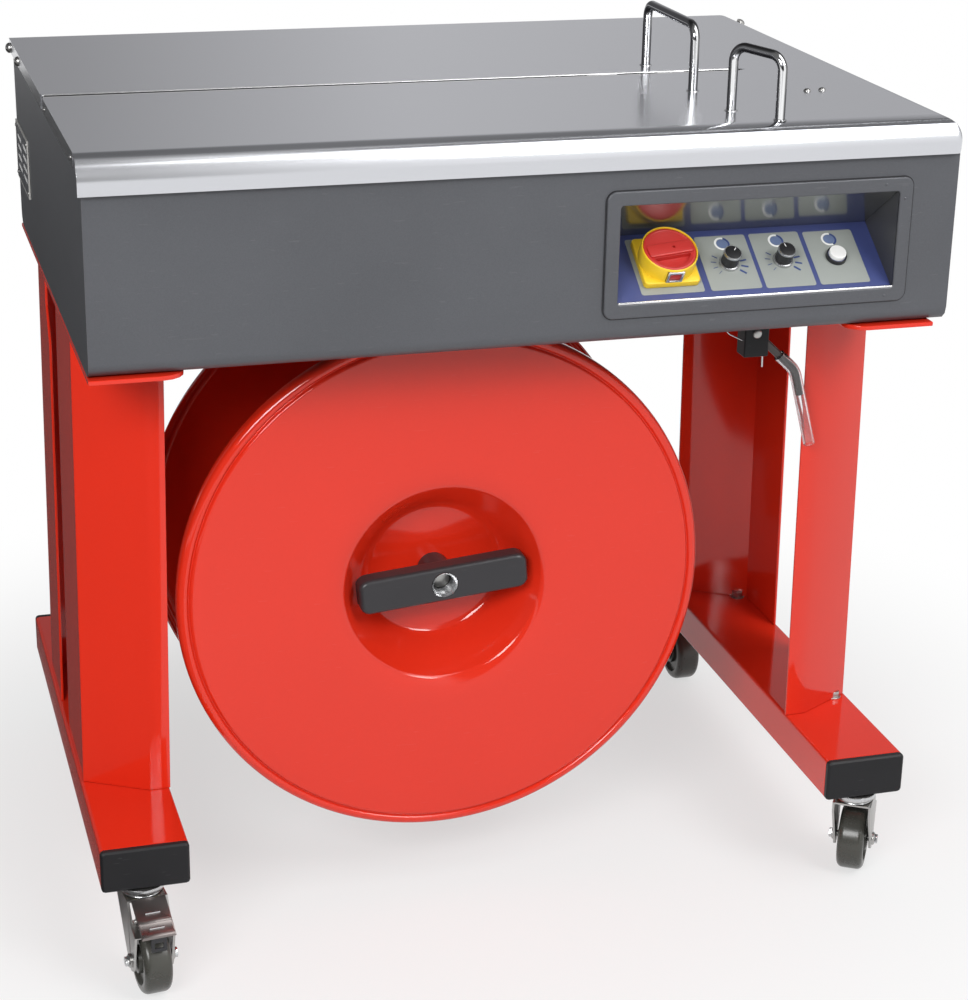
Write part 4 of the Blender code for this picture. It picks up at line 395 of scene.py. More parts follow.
class Finishes:
    """Every finish on the machine."""

    CHARCOAL = Finish("charcoal_metallic_paint", (0.086, 0.089, 0.099), 0.44, 0.30,
                      Texture.FLAKE, 1500.0, 0.14, 0.05, 0.000012, 5.0, 0.30, 0.05)
    # A darker copy of the charcoal paint, with painted shade for the walls of the sunk recess.
    CHARCOAL_SHADED = Finish("charcoal_paint_painted_shade", (0.070, 0.071, 0.075), 0.38, 0.25,
                            Texture.FLAKE, 1500.0, 0.10, 0.05, 0.000008, 9.0, 0.2, 0.05)
    RED = Finish("glossy_red_paint", (0.650, 0.024, 0.008), 0.09, 0.0, Texture.PEEL,
                 260.0, 0.04, 0.02, 0.000010, 4.0, 0.12, 0.01)
    TABLE = Finish("brushed_table_steel", (0.670, 0.680, 0.715), 0.21, 1.0,
                   Texture.BRUSHED, 1600.0, 0.04, 0.03, 0.000004, 3.0, 0.20, 0.02)
    LIP = Finish("bright_folded_lip", (0.860, 0.860, 0.865), 0.20, 1.0,
                 Texture.BRUSHED, 1400.0, 0.04, 0.04, 0.000004, 9.0, 0.20, 0.02)
    STEEL = Finish("bright_steel", (0.560, 0.565, 0.575), 0.26, 1.0, Texture.GRAIN,
                   1100.0, 0.10, 0.08, 0.000006, 14.0, 0.4, 0.06)
    # Chromed bar; its dark edges and light lines are a painted reflection.
    CHROME = Finish("chromed_bar", (0.900, 0.905, 0.915), 0.10, 1.0, Texture.GRAIN,
                    800.0, 0.05, 0.03, 0.000002, 20.0, 0.2, 0.02,
                    painted_reflection=True)
    ZINC = Finish("zinc_plate", (0.430, 0.425, 0.415), 0.33, 1.0, Texture.CAST,
                  420.0, 0.16, 0.10, 0.00002, 26.0, 0.4, 0.08)
    BLACK = Finish("moulded_black_plastic", (0.013, 0.013, 0.0145), 0.46, 0.0,
                   Texture.CAST, 1300.0, 0.18, 0.07, 0.00004, 18.0, 0.25, 0.02, shine=0.22)
    SATIN_BLACK = Finish("satin_black_handle", (0.026, 0.025, 0.028), 0.32, 0.0,
                         Texture.PEEL, 900.0, 0.10, 0.05, 0.00001, 18.0, 0.15, 0.02, shine=0.38)
    BLACK_STEEL = Finish("blackened_steel", (0.075, 0.068, 0.066), 0.30, 0.9,
                         Texture.CAST, 700.0, 0.14, 0.08, 0.00001, 24.0, 0.25, 0.04)
    DULL_ZINC = Finish("dulled_zinc_plate", (0.250, 0.222, 0.215), 0.30, 0.95,
                       Texture.CAST, 500.0, 0.12, 0.08, 0.00001, 24.0, 0.30, 0.05)
    GLOSS_BLACK = Finish("glossy_black_plastic", (0.014, 0.014, 0.017), 0.16, 0.0,
                         Texture.GRAIN, 700.0, 0.12, 0.05, 0.000006, 20.0, 0.25, 0.04)
    MIRROR = Finish("polished_recess_wall", (0.285, 0.290, 0.285), 0.15, 0.84,
                    Texture.PEEL, 300.0, 0.04, 0.02, 0.000003, 12.0, 0.1, 0.0)
    BLUE = Finish("blue_printed_foil", (0.044, 0.060, 0.190), 0.34, 0.0, Texture.GRAIN,
                  900.0, 0.06, 0.04, 0.000008, 16.0, 0.1, 0.03)
    FIELD = Finish("grey_green_printed_field", (0.285, 0.305, 0.288), 0.42, 0.0,
                   Texture.GRAIN, 900.0, 0.05, 0.04, 0.000006, 18.0, 0.1, 0.03)
    PRINT_WHITE = Finish("white_print", (0.800, 0.805, 0.800), 0.42, 0.0,
                         Texture.GRAIN, 900.0, 0.05, 0.04, 0.000004, 30.0, 0.1, 0.02)
    PRINT_SLATE = Finish("slate_print", (0.120, 0.165, 0.290), 0.40, 0.0, Texture.CAST,
                         2600.0, 0.45, 0.04, 0.000004, 40.0, 0.1, 0.02)
    CUT_EDGE = Finish("bare_cut_edge", (0.560, 0.555, 0.530), 0.42, 0.35, Texture.GRAIN,
                      900.0, 0.10, 0.06, 0.000006, 20.0, 0.2, 0.02)
    PRINT_BLUE = Finish("blue_print", (0.030, 0.055, 0.190), 0.40, 0.0, Texture.GRAIN,
                        900.0, 0.10, 0.04, 0.000006, 40.0, 0.1, 0.02)
    YELLOW = Finish("yellow_moulded_plastic", (0.840, 0.560, 0.022), 0.33, 0.0,
                    Texture.CAST, 900.0, 0.07, 0.05, 0.00001, 22.0, 0.2, 0.03)
    SWITCH_RED = Finish("red_moulded_plastic", (0.470, 0.022, 0.018), 0.36, 0.0,
                        Texture.CAST, 900.0, 0.10, 0.05, 0.00001, 22.0, 0.2, 0.03)
    WHITE = Finish("white_button_cap", (0.790, 0.790, 0.780), 0.38, 0.0, Texture.GRAIN,
                   1200.0, 0.05, 0.04, 0.00002, 40.0, 0.15, 0.03)
    TREAD = Finish("cast_olive_tread", (0.045, 0.045, 0.038), 0.28, 0.0, Texture.CAST,
                   520.0, 0.18, 0.07, 0.00001, 30.0, 0.4, 0.08)
    RUBBER = Finish("black_rubber", (0.022, 0.022, 0.023), 0.62, 0.0, Texture.CAST,
                    900.0, 0.20, 0.08, 0.00005, 24.0, 0.3, 0.10)
    GREY_PAINT = Finish("grey_machine_paint", (0.215, 0.232, 0.248), 0.46, 0.0,
                        Texture.PEEL, 420.0, 0.08, 0.07, 0.00004, 10.0, 0.35, 0.10)
    IRON = Finish("varnished_core_sheets", (0.075, 0.070, 0.066), 0.44, 0.5,
                  Texture.BRUSHED, 900.0, 0.22, 0.08, 0.00005, 20.0, 0.2, 0.10)
    COPPER = Finish("varnished_copper_wire", (0.420, 0.150, 0.060), 0.30, 0.7,
                    Texture.BRUSHED, 1200.0, 0.20, 0.08, 0.00004, 20.0, 0.1, 0.06)
    GREASE = Finish("bearing_grease", (0.620, 0.420, 0.020), 0.22, 0.0, Texture.CAST,
                    300.0, 0.15, 0.06, 0.00010, 60.0, 0.1, 0.02)
    CLEAR = ClearFinish("clear_soft_tube", (0.93, 0.93, 0.95), 0.04, 1.42)


class Bench:
    """Blender's own modelling tools, each used as one step on a piece."""

    @staticmethod
    def clear() -> None:
        """Leave edit mode and deselect everything."""
        if bpy.context.object is not None and bpy.context.object.mode != "OBJECT":
            bpy.ops.object.mode_set(mode="OBJECT")
        bpy.ops.object.select_all(action="DESELECT")

    @classmethod
    def pick(cls, piece: Piece) -> None:
        """Select one piece and make it the active one."""
        cls.clear()
        piece.select_set(True)
        bpy.context.view_layer.objects.active = piece

    @classmethod
    def named(cls, name: str) -> Piece:
        """Name the piece that was just added, and return it without materials."""
        piece = bpy.context.active_object
        piece.name = name
        piece.data.name = name
        piece.data.materials.clear()
        return piece

    @staticmethod
    def edit() -> None:
        """Enter edit mode with everything selected."""
        bpy.ops.object.mode_set(mode="EDIT")
        bpy.ops.mesh.select_all(action="SELECT")

    @staticmethod
    def finish(piece: Piece) -> Piece:
        """Turn the selected faces outwards and leave edit mode."""
        bpy.ops.mesh.normals_make_consistent(inside=False)
        bpy.ops.object.mode_set(mode="OBJECT")
        return piece

    @classmethod
    def settle(cls, piece: Piece) -> Piece:
        """Put the piece's place, turn and scale into its mesh."""
        cls.pick(piece)
        bpy.ops.object.transform_apply(location=True, rotation=True, scale=True)
        return piece

    @classmethod
    def block(cls, name: str, low: Sequence[float], high: Sequence[float]) -> Piece:
        """Return a box between two corners."""
        cls.clear()
        low, high = Vector(low), Vector(high)
        bpy.ops.mesh.primitive_cube_add(size=1, location=(low + high) / 2)
        piece = cls.named(name)
        piece.scale = high - low
        return cls.settle(piece)

    @classmethod
    def drum(cls, name: str, centre: Sequence[float], axis: Vector, radius: float,
             length: float, sides: int = 32) -> Piece:
        """Return a cylinder that starts at a point and runs along an axis.

        Args:
            name: The piece's name.
            centre: Middle of its first end.
            axis: Unit direction in which it runs.
            radius: Its radius.
            length: Its length.
            sides: Faces round it.

        Returns:
            The cylinder.
        """
        cls.clear()
        axis = Vector(axis).normalized()
        turn = Vector((0, 0, 1)).rotation_difference(axis).to_euler()
        middle = Vector(centre) + axis * length / 2
        bpy.ops.mesh.primitive_cylinder_add(vertices=sides, radius=radius, depth=length,
                                            location=middle, rotation=turn)
        return cls.settle(cls.named(name))

    @classmethod
    def plate(cls, name: str, points: Sequence[Vector], rise: Vector) -> Piece:
        """Return a plate over a closed outline, pulled up from a flat circle's points.

        Args:
            name: The piece's name.
            points: The outline in space.
            rise: How far and in which direction it is pulled.

        Returns:
            The closed plate.
        """
        cls.clear()
        bpy.ops.mesh.primitive_circle_add(vertices=len(points), radius=1, fill_type="NGON")
        piece = cls.named(name)
        for vertex, point in zip(piece.data.vertices, points):
            vertex.co = point
        cls.edit()
        bpy.ops.mesh.extrude_region_move(TRANSFORM_OT_translate={"value": tuple(rise)})
        bpy.ops.mesh.select_all(action="SELECT")
        return cls.finish(piece)

    @classmethod
    def slab(cls, name: str, outline: Sequence[Point], level: float, rise: float,
             upright: bool = False) -> Piece:
        """Return a plate over an outline at a level; an upright one lies in X and Z."""
        points = [Vector((x, level, y) if upright else (x, y, level)) for x, y in outline]
        return cls.plate(name, points, Vector((0, rise, 0) if upright else (0, 0, rise)))

    @classmethod
    def turned(cls, name: str, profile: Sequence[Point], centre: Sequence[float] = (0, 0, 0),
               axis: Axis = Axis.Z, steps: int = 64, closed: bool = True) -> Piece:
        """Return a piece spun from a profile that is drawn point by point.

        Args:
            name: The piece's name.
            profile: (radius, along) points.
            centre: A point on the axis from which along is measured.
            axis: The axis of the spin.
            steps: Faces round it.
            closed: Join the profile's last point to its first.

        Returns:
            The piece, with merged seams and its faces outwards.
        """
        cls.clear()
        centre = Vector(centre)
        spots = [centre + axis.across * radius + axis.vector * along
                 for radius, along in profile]
        bpy.ops.mesh.primitive_plane_add(size=1)
        piece = cls.named(name)
        bpy.ops.object.mode_set(mode="EDIT")
        mesh = bmesh.from_edit_mesh(piece.data)
        mesh.verts.ensure_lookup_table()
        for index, vertex in enumerate(mesh.verts):
            vertex.select_set(index > 0)
        mesh.verts[0].co = spots[0]
        mesh.select_flush_mode()
        bmesh.update_edit_mesh(piece.data)
        bpy.ops.mesh.delete(type="VERT")
        bpy.ops.mesh.select_all(action="SELECT")
        for before, after in zip(spots, spots[1:]):
            bpy.ops.mesh.extrude_vertices_move(
                TRANSFORM_OT_translate={"value": tuple(after - before)})
        if closed:
            mesh = bmesh.from_edit_mesh(piece.data)
            mesh.verts.ensure_lookup_table()
            mesh.edges.new([vertex for vertex in mesh.verts if len(vertex.link_edges) == 1])
            bmesh.update_edit_mesh(piece.data)
        bpy.ops.mesh.select_all(action="SELECT")
        bpy.ops.mesh.spin(steps=steps, angle=2 * math.pi, center=centre, axis=axis.vector)
        bpy.ops.mesh.select_all(action="SELECT")
        bpy.ops.mesh.remove_doubles(threshold=MERGE)
        bpy.ops.mesh.dissolve_degenerate(threshold=MERGE)
        bpy.ops.mesh.select_all(action="SELECT")
        return cls.finish(piece)

    @classmethod
    def tube(cls, name: str, path: Sequence[Vector], radius: float,
             sides: int = 24) -> Piece:
        """Return a round bar along a path, made from a bevelled curve."""
        cls.clear()
        bpy.ops.curve.primitive_nurbs_path_add()
        piece = bpy.context.active_object
        piece.name = name
        piece.location = (0, 0, 0)
        curve = piece.data
        curve.splines.clear()
        line = curve.splines.new("POLY")
        line.points.add(len(path) - 1)
        for spot, point in zip(line.points, path):
            spot.co = (*point, 1.0)
        curve.dimensions = "3D"
        curve.bevel_depth = radius
        curve.bevel_resolution = max(sides // 4 - 1, 1)
        curve.use_fill_caps = True
        bpy.ops.object.convert(target="MESH")
        piece = cls.named(name)
        cls.edit()
        bpy.ops.mesh.remove_doubles(threshold=MERGE)
        return cls.finish(piece)

    @classmethod
    def apply(cls, piece: Piece, kind: str, **settings) -> Piece:
        """Add a modifier with its settings, and apply it."""
        cls.pick(piece)
        modifier = piece.modifiers.new(kind.lower(), kind)
        for label, value in settings.items():
            setattr(modifier, label, value)
        bpy.ops.object.modifier_apply(modifier=modifier.name)
        return piece

    @classmethod
    def bevel(cls, piece: Piece, width: float, segments: int = 2,
              angle: float = CREST) -> Piece:
        """Round every edge sharper than an angle."""
        return cls.apply(piece, "BEVEL", width=width, segments=segments, limit_method="ANGLE",
                         angle_limit=math.radians(angle), use_clamp_overlap=True,
                         miter_outer="MITER_ARC")

    @classmethod
    def combine(cls, piece: Piece, tool: Piece,
                operation: str = "DIFFERENCE") -> Piece:
        """Cut a piece with another, or unite them, and discard the other."""
        cls.apply(piece, "BOOLEAN", object=tool, operation=operation, solver="EXACT")
        bpy.data.objects.remove(tool)
        return piece

    @classmethod
    def smooth(cls, piece: Piece, angle: float = CREST,
               weighted: bool = False) -> Piece:
        """Shade smooth below an angle; weighted keeps large faces flat."""
        cls.pick(piece)
        bpy.ops.object.shade_smooth_by_angle(angle=math.radians(angle))
        if weighted:
            cls.apply(piece, "WEIGHTED_NORMAL", keep_sharp=True, weight=80)
        return piece

    @classmethod
    def join(cls, name: str, pieces: Sequence[Piece]) -> Piece:
        """Join pieces into one and name it."""
        cls.clear()
        for piece in pieces:
            piece.select_set(True)
        bpy.context.view_layer.objects.active = pieces[0]
        if len(pieces) > 1:
            bpy.ops.object.join()
        pieces[0].name = name
        pieces[0].data.name = name
        return pieces[0]

    @classmethod
    def spread(cls, name: str, master: Piece,
               places: Iterable[Matrix]) -> Piece:
        """Copy a piece to several places, each copy with its own mesh, and join them."""
        copies = []
        for place in places:
            copy = master.copy()
            copy.data = master.data.copy()
            bpy.context.scene.collection.objects.link(copy)
            copy.data.transform(place)
            copies.append(copy)
        bpy.data.objects.remove(master)
        return cls.join(name, copies)

    @classmethod
    def copy_of(cls, node: str, name: str, keep_angle: float = 0.4) -> Piece:
        """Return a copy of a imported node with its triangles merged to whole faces."""
        cls.clear()
        mesh = frame["nodes"][node].data.copy()
        mesh.materials.clear()
        piece = bpy.data.objects.new(name, mesh)
        mesh.name = name
        bpy.context.scene.collection.objects.link(piece)
        cls.pick(piece)
        bpy.ops.mesh.customdata_custom_splitnormals_clear()
        cls.edit()
        bpy.ops.mesh.remove_doubles(threshold=2 * MERGE)
        bpy.ops.mesh.dissolve_limited(angle_limit=math.radians(keep_angle))
        return cls.finish(piece)


def ring(radius: float, steps: int = 48, start: float = 0.0, stop: float = 360.0,
         centre: Point = (0.0, 0.0)) -> list[Point]:
    """Return the points of a circle or an arc, in degrees."""
    full = abs(stop - start) >= 360
    count = steps if full else steps + 1
    turns = [math.radians(start + (stop - start) * step / steps) for step in range(count)]
    return [(centre[0] + radius * math.cos(turn), centre[1] + radius * math.sin(turn))
            for turn in turns]


def rounded(left: float, bottom: float, right: float, top: float, radius: float,
            steps: int = 8) -> list[Point]:
    """Return a rectangle's outline with round corners."""
    points: list[Point] = []
    for across, up, quarter in ((right - radius, top - radius, 0), (left + radius, top - radius, 1),
                                (left + radius, bottom + radius, 2),
                                (right - radius, bottom + radius, 3)):
        points += ring(radius, steps, 90 * quarter, 90 * quarter + 90, (across, up))
    return points


def eased(points: Sequence[Point], steps: int = 5) -> list[Point]:
    """Return a smooth line through points, with more points between them."""
    line = [Vector(point) for point in points]
    result: list[Point] = []
    for index in range(len(line) - 1):
        first = line[max(index - 1, 0)]
        start, stop = line[index], line[index + 1]
        last = line[min(index + 2, len(line) - 1)]
        for step in range(steps):
            share = step / steps
            spot = ((start * 2) + (stop - first) * share
                    + (first * 2 - start * 5 + stop * 4 - last) * share ** 2
                    + (start * 3 - first - stop * 3 + last) * share ** 3) / 2
            result.append((spot.x, spot.y))
    result.append(tuple(line[-1]))
    return result


def bent(points: Sequence[Sequence[float]], radius: float, steps: int = 8) -> list[Vector]:
    """Return a path through points with each inner corner bent to a radius."""
    path = [Vector(points[0])]
    for before, corner, after in zip(points, points[1:], points[2:]):
        corner = Vector(corner)
        back = (Vector(before) - corner).normalized()
        ahead = (Vector(after) - corner).normalized()
        half = back.angle(ahead) / 2
        reach = radius / math.tan(half)
        centre = corner + (back + ahead).normalized() * radius / math.sin(half)
        start, stop = corner + back * reach - centre, corner + ahead * reach - centre
        sweep = start.angle(stop)
        for step in range(steps + 1):
            share = step / steps
            path.append(centre + (start * math.sin((1 - share) * sweep)
                                  + stop * math.sin(share * sweep)) / math.sin(sweep))
    path.append(Vector(points[-1]))
    return path


@dataclass
class SubAssembly:
    """A group of pieces that share a bench and a way of being dressed."""

    pieces: list[Piece] = field(default_factory=list)

    def dress(self, piece: Piece, finish, body: str, slot: str = "",
              replaces: Sequence[str] = (), smooth: float = CREST, weighted: bool = False,
              place: Optional[Matrix] = None) -> Piece:
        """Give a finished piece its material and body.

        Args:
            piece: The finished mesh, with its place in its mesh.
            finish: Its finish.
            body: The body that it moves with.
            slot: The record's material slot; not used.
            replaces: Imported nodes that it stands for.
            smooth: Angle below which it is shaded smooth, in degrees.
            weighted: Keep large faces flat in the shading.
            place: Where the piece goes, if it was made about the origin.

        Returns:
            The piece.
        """
        if place is not None:
            piece.data.transform(place)
        Bench.settle(piece)
        Bench.smooth(piece, smooth, weighted)
        if not piece.data.materials:
            piece.data.materials.append(finish.material())
        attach(piece, body)
        if replaces:
            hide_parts(*replaces)
        self.pieces.append(piece)
        LOG.info("%s rides on %s", piece.name, body)
        return piece

    def fasten(self, name: str, head: Piece, places: Iterable[Sequence],
               body: str = "root") -> Piece:
        """Set a zinc fastener at each place and dress them as one piece.

        Args:
            name: The piece's name.
            head: The fastener, made about the origin.
            places: Each one's point, the normal that it faces along, and its turn if it has one.
            body: The body that they move with.

        Returns:
            The piece.
        """
        spots = [Fasteners.facing(*place) for place in places]
        return self.dress(Bench.spread(name, head, spots), Finishes.ZINC, body, "zinc")

    def redress(self, node: str, finish, slot: str, width: float, segments: int = 2,
                angle: float = CREST, weighted: bool = True) -> Piece:
        """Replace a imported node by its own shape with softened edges."""
        piece = Bench.bevel(Bench.copy_of(node, node + "_dressed"), width, segments, angle)
        body = frame["nodes"][node]["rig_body"]
        return self.dress(piece, finish, body, slot, (node,), 40.0, weighted)


class Fasteners:
    """Small screws, bolts and nuts, each modelled once about the origin, head along +Z."""

    @staticmethod
    def dome(name: str, radius: float, height: float, socket: bool = True) -> Piece:
        """Return a domed screw head, with a cross recess if socket is set."""
        arc = [(radius * math.cos(math.radians(turn)), height * math.sin(math.radians(turn)))
               for turn in range(0, 91, 15)]
        profile = [(0.0, -height * 0.2), (radius, -height * 0.2)] + arc[:-1] + [(0.0, height)]
        head = Bench.turned(name, profile, steps=28, closed=False)
        if socket:
            for turn in (0.0, math.pi / 2):
                blade = Bench.block("blade", (-radius * 0.55, -radius * 0.09, height * 0.45),
                                    (radius * 0.55, radius * 0.09, height * 1.4))
                blade.rotation_euler[2] = turn + 0.5
                Bench.settle(blade)
                Bench.combine(head, blade)
        return head

    @staticmethod
    def hex_head(name: str, flats: float, height: float, washer: float = 0.0) -> Piece:
        """Return a hexagon head with chamfered corners on an optional washer."""
        radius = flats / math.sqrt(3)
        head = Bench.drum(name, (0, 0, washer), UP, radius, height, 6)
        crown = Bench.turned("crown", [(0, -height), (radius * 1.2, -height),
                                       (radius * 1.2, washer + height * 0.8),
                                       (radius * 0.86, washer + height), (0, washer + height)],
                             steps=24, closed=False)
        Bench.combine(head, crown, "INTERSECT")
        Bench.bevel(head, flats * 0.02, 1, 20)
        if washer:
            disc = Bench.drum("washer", (0, 0, 0), UP, radius * 1.25, washer, 28)
            Bench.bevel(disc, washer * 0.25, 1)
            head = Bench.join(name, [head, disc])
        return head

    @staticmethod
    def facing(point: Sequence[float], normal: Sequence[float], turn: float = 0.0) -> Matrix:
        """Return the place of a fastener at a point, head along a normal."""
        rotation = UP.rotation_difference(Vector(normal)).to_matrix().to_4x4()
        return Matrix.Translation(Vector(point)) @ rotation @ Matrix.Rotation(turn, 4, "Z")


@dataclass
class LegFrame(SubAssembly):
    """Feet, caps, bent legs, rails and the plate under the housing."""

    sheet_edge: float = 0.0009
    tube_edge: float = 0.0006
    nut_flats: float = 0.013
    nut_height: float = 0.0065
    nut_spots: Sequence[Point] = ((0.428, 0.151), (0.428, -0.151))

    def build(self) -> None:
        """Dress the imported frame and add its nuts."""
        for place in ("front", "rear"):
            for hand in ("left", "right"):
                self.redress(f"leg_{place}_{hand}", Finishes.RED, "red_paint", self.sheet_edge)
        for hand in ("left", "right"):
            self.redress("foot_" + hand, Finishes.RED, "red_paint", self.tube_edge)
            self.redress("top_rail_" + hand, Finishes.RED, "red_paint", self.sheet_edge)
        for corner in ("fl", "fr", "rl", "rr"):
            self.redress("foot_cap_" + corner, Finishes.BLACK, "black_plastic", self.tube_edge)
        self.redress("base_plate", Finishes.CHARCOAL, "charcoal", self.tube_edge)
        self.foot_nuts()
        self.rail_bolts()

    def foot_nuts(self) -> None:
        """Add the nuts that hold the leg feet from above."""
        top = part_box("foot_right")[1].z
        nut = Fasteners.hex_head("nut", self.nut_flats, self.nut_height, 0.0012)
        self.fasten("foot_nuts", nut, [((x, y, top), (0, 0, 1), 0.2 + x)
                                       for x, y in self.nut_spots])

    def rail_bolts(self) -> None:
        """Add the bolt heads that hold the rails to the base plate from below."""
        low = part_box("top_rail_left")[0].z
        self.fasten("rail_bolts", Fasteners.hex_head("bolt", 0.010, 0.0042, 0.001),
                    [((x, y, low), (0, 0, -1), y)
                     for x in (-0.3620, 0.3515) for y in (-0.20, 0.0, 0.22)])


@dataclass
class Housing(SubAssembly):
    """The folded shell with its vent plate, rear inlet and rear screws."""

    edge: float = 0.0014
    screw: float = 0.0042

    def build(self) -> None:
        """Dress the shell and add what is fixed to its walls."""
        self.redress("housing_shell", Finishes.CHARCOAL, "charcoal", self.edge, 3, 40.0)
        self.redress("vent_plate", Finishes.CHARCOAL, "steel", 0.0004, 1)
        self.vent_border()
        self.redress("power_inlet", Finishes.BLACK, "black_plastic", 0.0006)
        self.inlet_pins()
        self.wall_screws()

    def vent_border(self) -> None:
        """Make the bare cut edge round the vent plate and the pale sheet behind its slots."""
        low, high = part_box("vent_plate")
        edge = 0.0012
        border = Bench.block("vent_border", (low.x - 0.0002, low.y - edge, low.z - edge),
                             (high.x, high.y + edge, high.z + edge))
        room = Bench.block("room", (low.x - 0.01, low.y + 0.0002, low.z + 0.0002),
                           (high.x + 0.01, high.y - 0.0002, high.z - 0.0002))
        Bench.combine(border, room)
        self.dress(border, Finishes.CUT_EDGE, "root", "steel")
        sheet = Bench.block("vent_backing", (high.x - 0.0006, low.y + 0.004, low.z + 0.004),
                            (high.x - 0.0001, high.y - 0.004, high.z - 0.004))
        self.dress(sheet, Finishes.PRINT_WHITE, "root", "white")

    def inlet_pins(self) -> None:
        """Add three flat pins in the power inlet."""
        low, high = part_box("power_inlet")
        middle = (low + high) / 2
        pins = []
        for across, up in ((0.0, 0.004), (-0.007, -0.003), (0.007, -0.003)):
            x, z = middle.x + across, middle.z + up
            pin = Bench.block("pin", (x - 0.001, high.y - 0.018, z - 0.002),
                              (x + 0.001, high.y - 0.004, z + 0.002))
            pins.append(Bench.bevel(pin, 0.0004, 2))
        self.dress(Bench.join("inlet_pins", pins), Finishes.STEEL, "root", "steel")

    def wall_screws(self) -> None:
        """Add the domed screws of the rear wall, the vent and the inlet."""
        shell_low, shell_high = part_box("housing_shell")
        vent_low, vent_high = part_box("vent_plate")
        inlet_low, inlet_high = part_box("power_inlet")
        places = [((x, shell_high.y, z), (0, 1, 0), x * 9)
                  for x in (-0.41, -0.14, 0.14, 0.41) for z in (shell_low.z + 0.028, 0.842)]
        places += [((x, shell_high.y, (inlet_low.z + inlet_high.z) / 2), (0, 1, 0), 0.4)
                   for x in (inlet_low.x - 0.007, inlet_high.x + 0.007)]
        places += [((shell_high.x, y, z), (1, 0, 0), y * 7)
                   for y in (-0.25, 0.25) for z in (shell_low.z + 0.030, 0.835)]
        self.fasten("housing_screws", Fasteners.dome("screw", self.screw, 0.0022), places)
        self.fasten("vent_screws", Fasteners.dome("small_screw", 0.0026, 0.0014),
                    [((vent_low.x, y, z), (-1, 0, 0), y + z)
                     for y in (vent_low.y + 0.0045, vent_high.y - 0.0045)
                     for z in (vent_low.z + 0.0045, vent_high.z - 0.0045)])


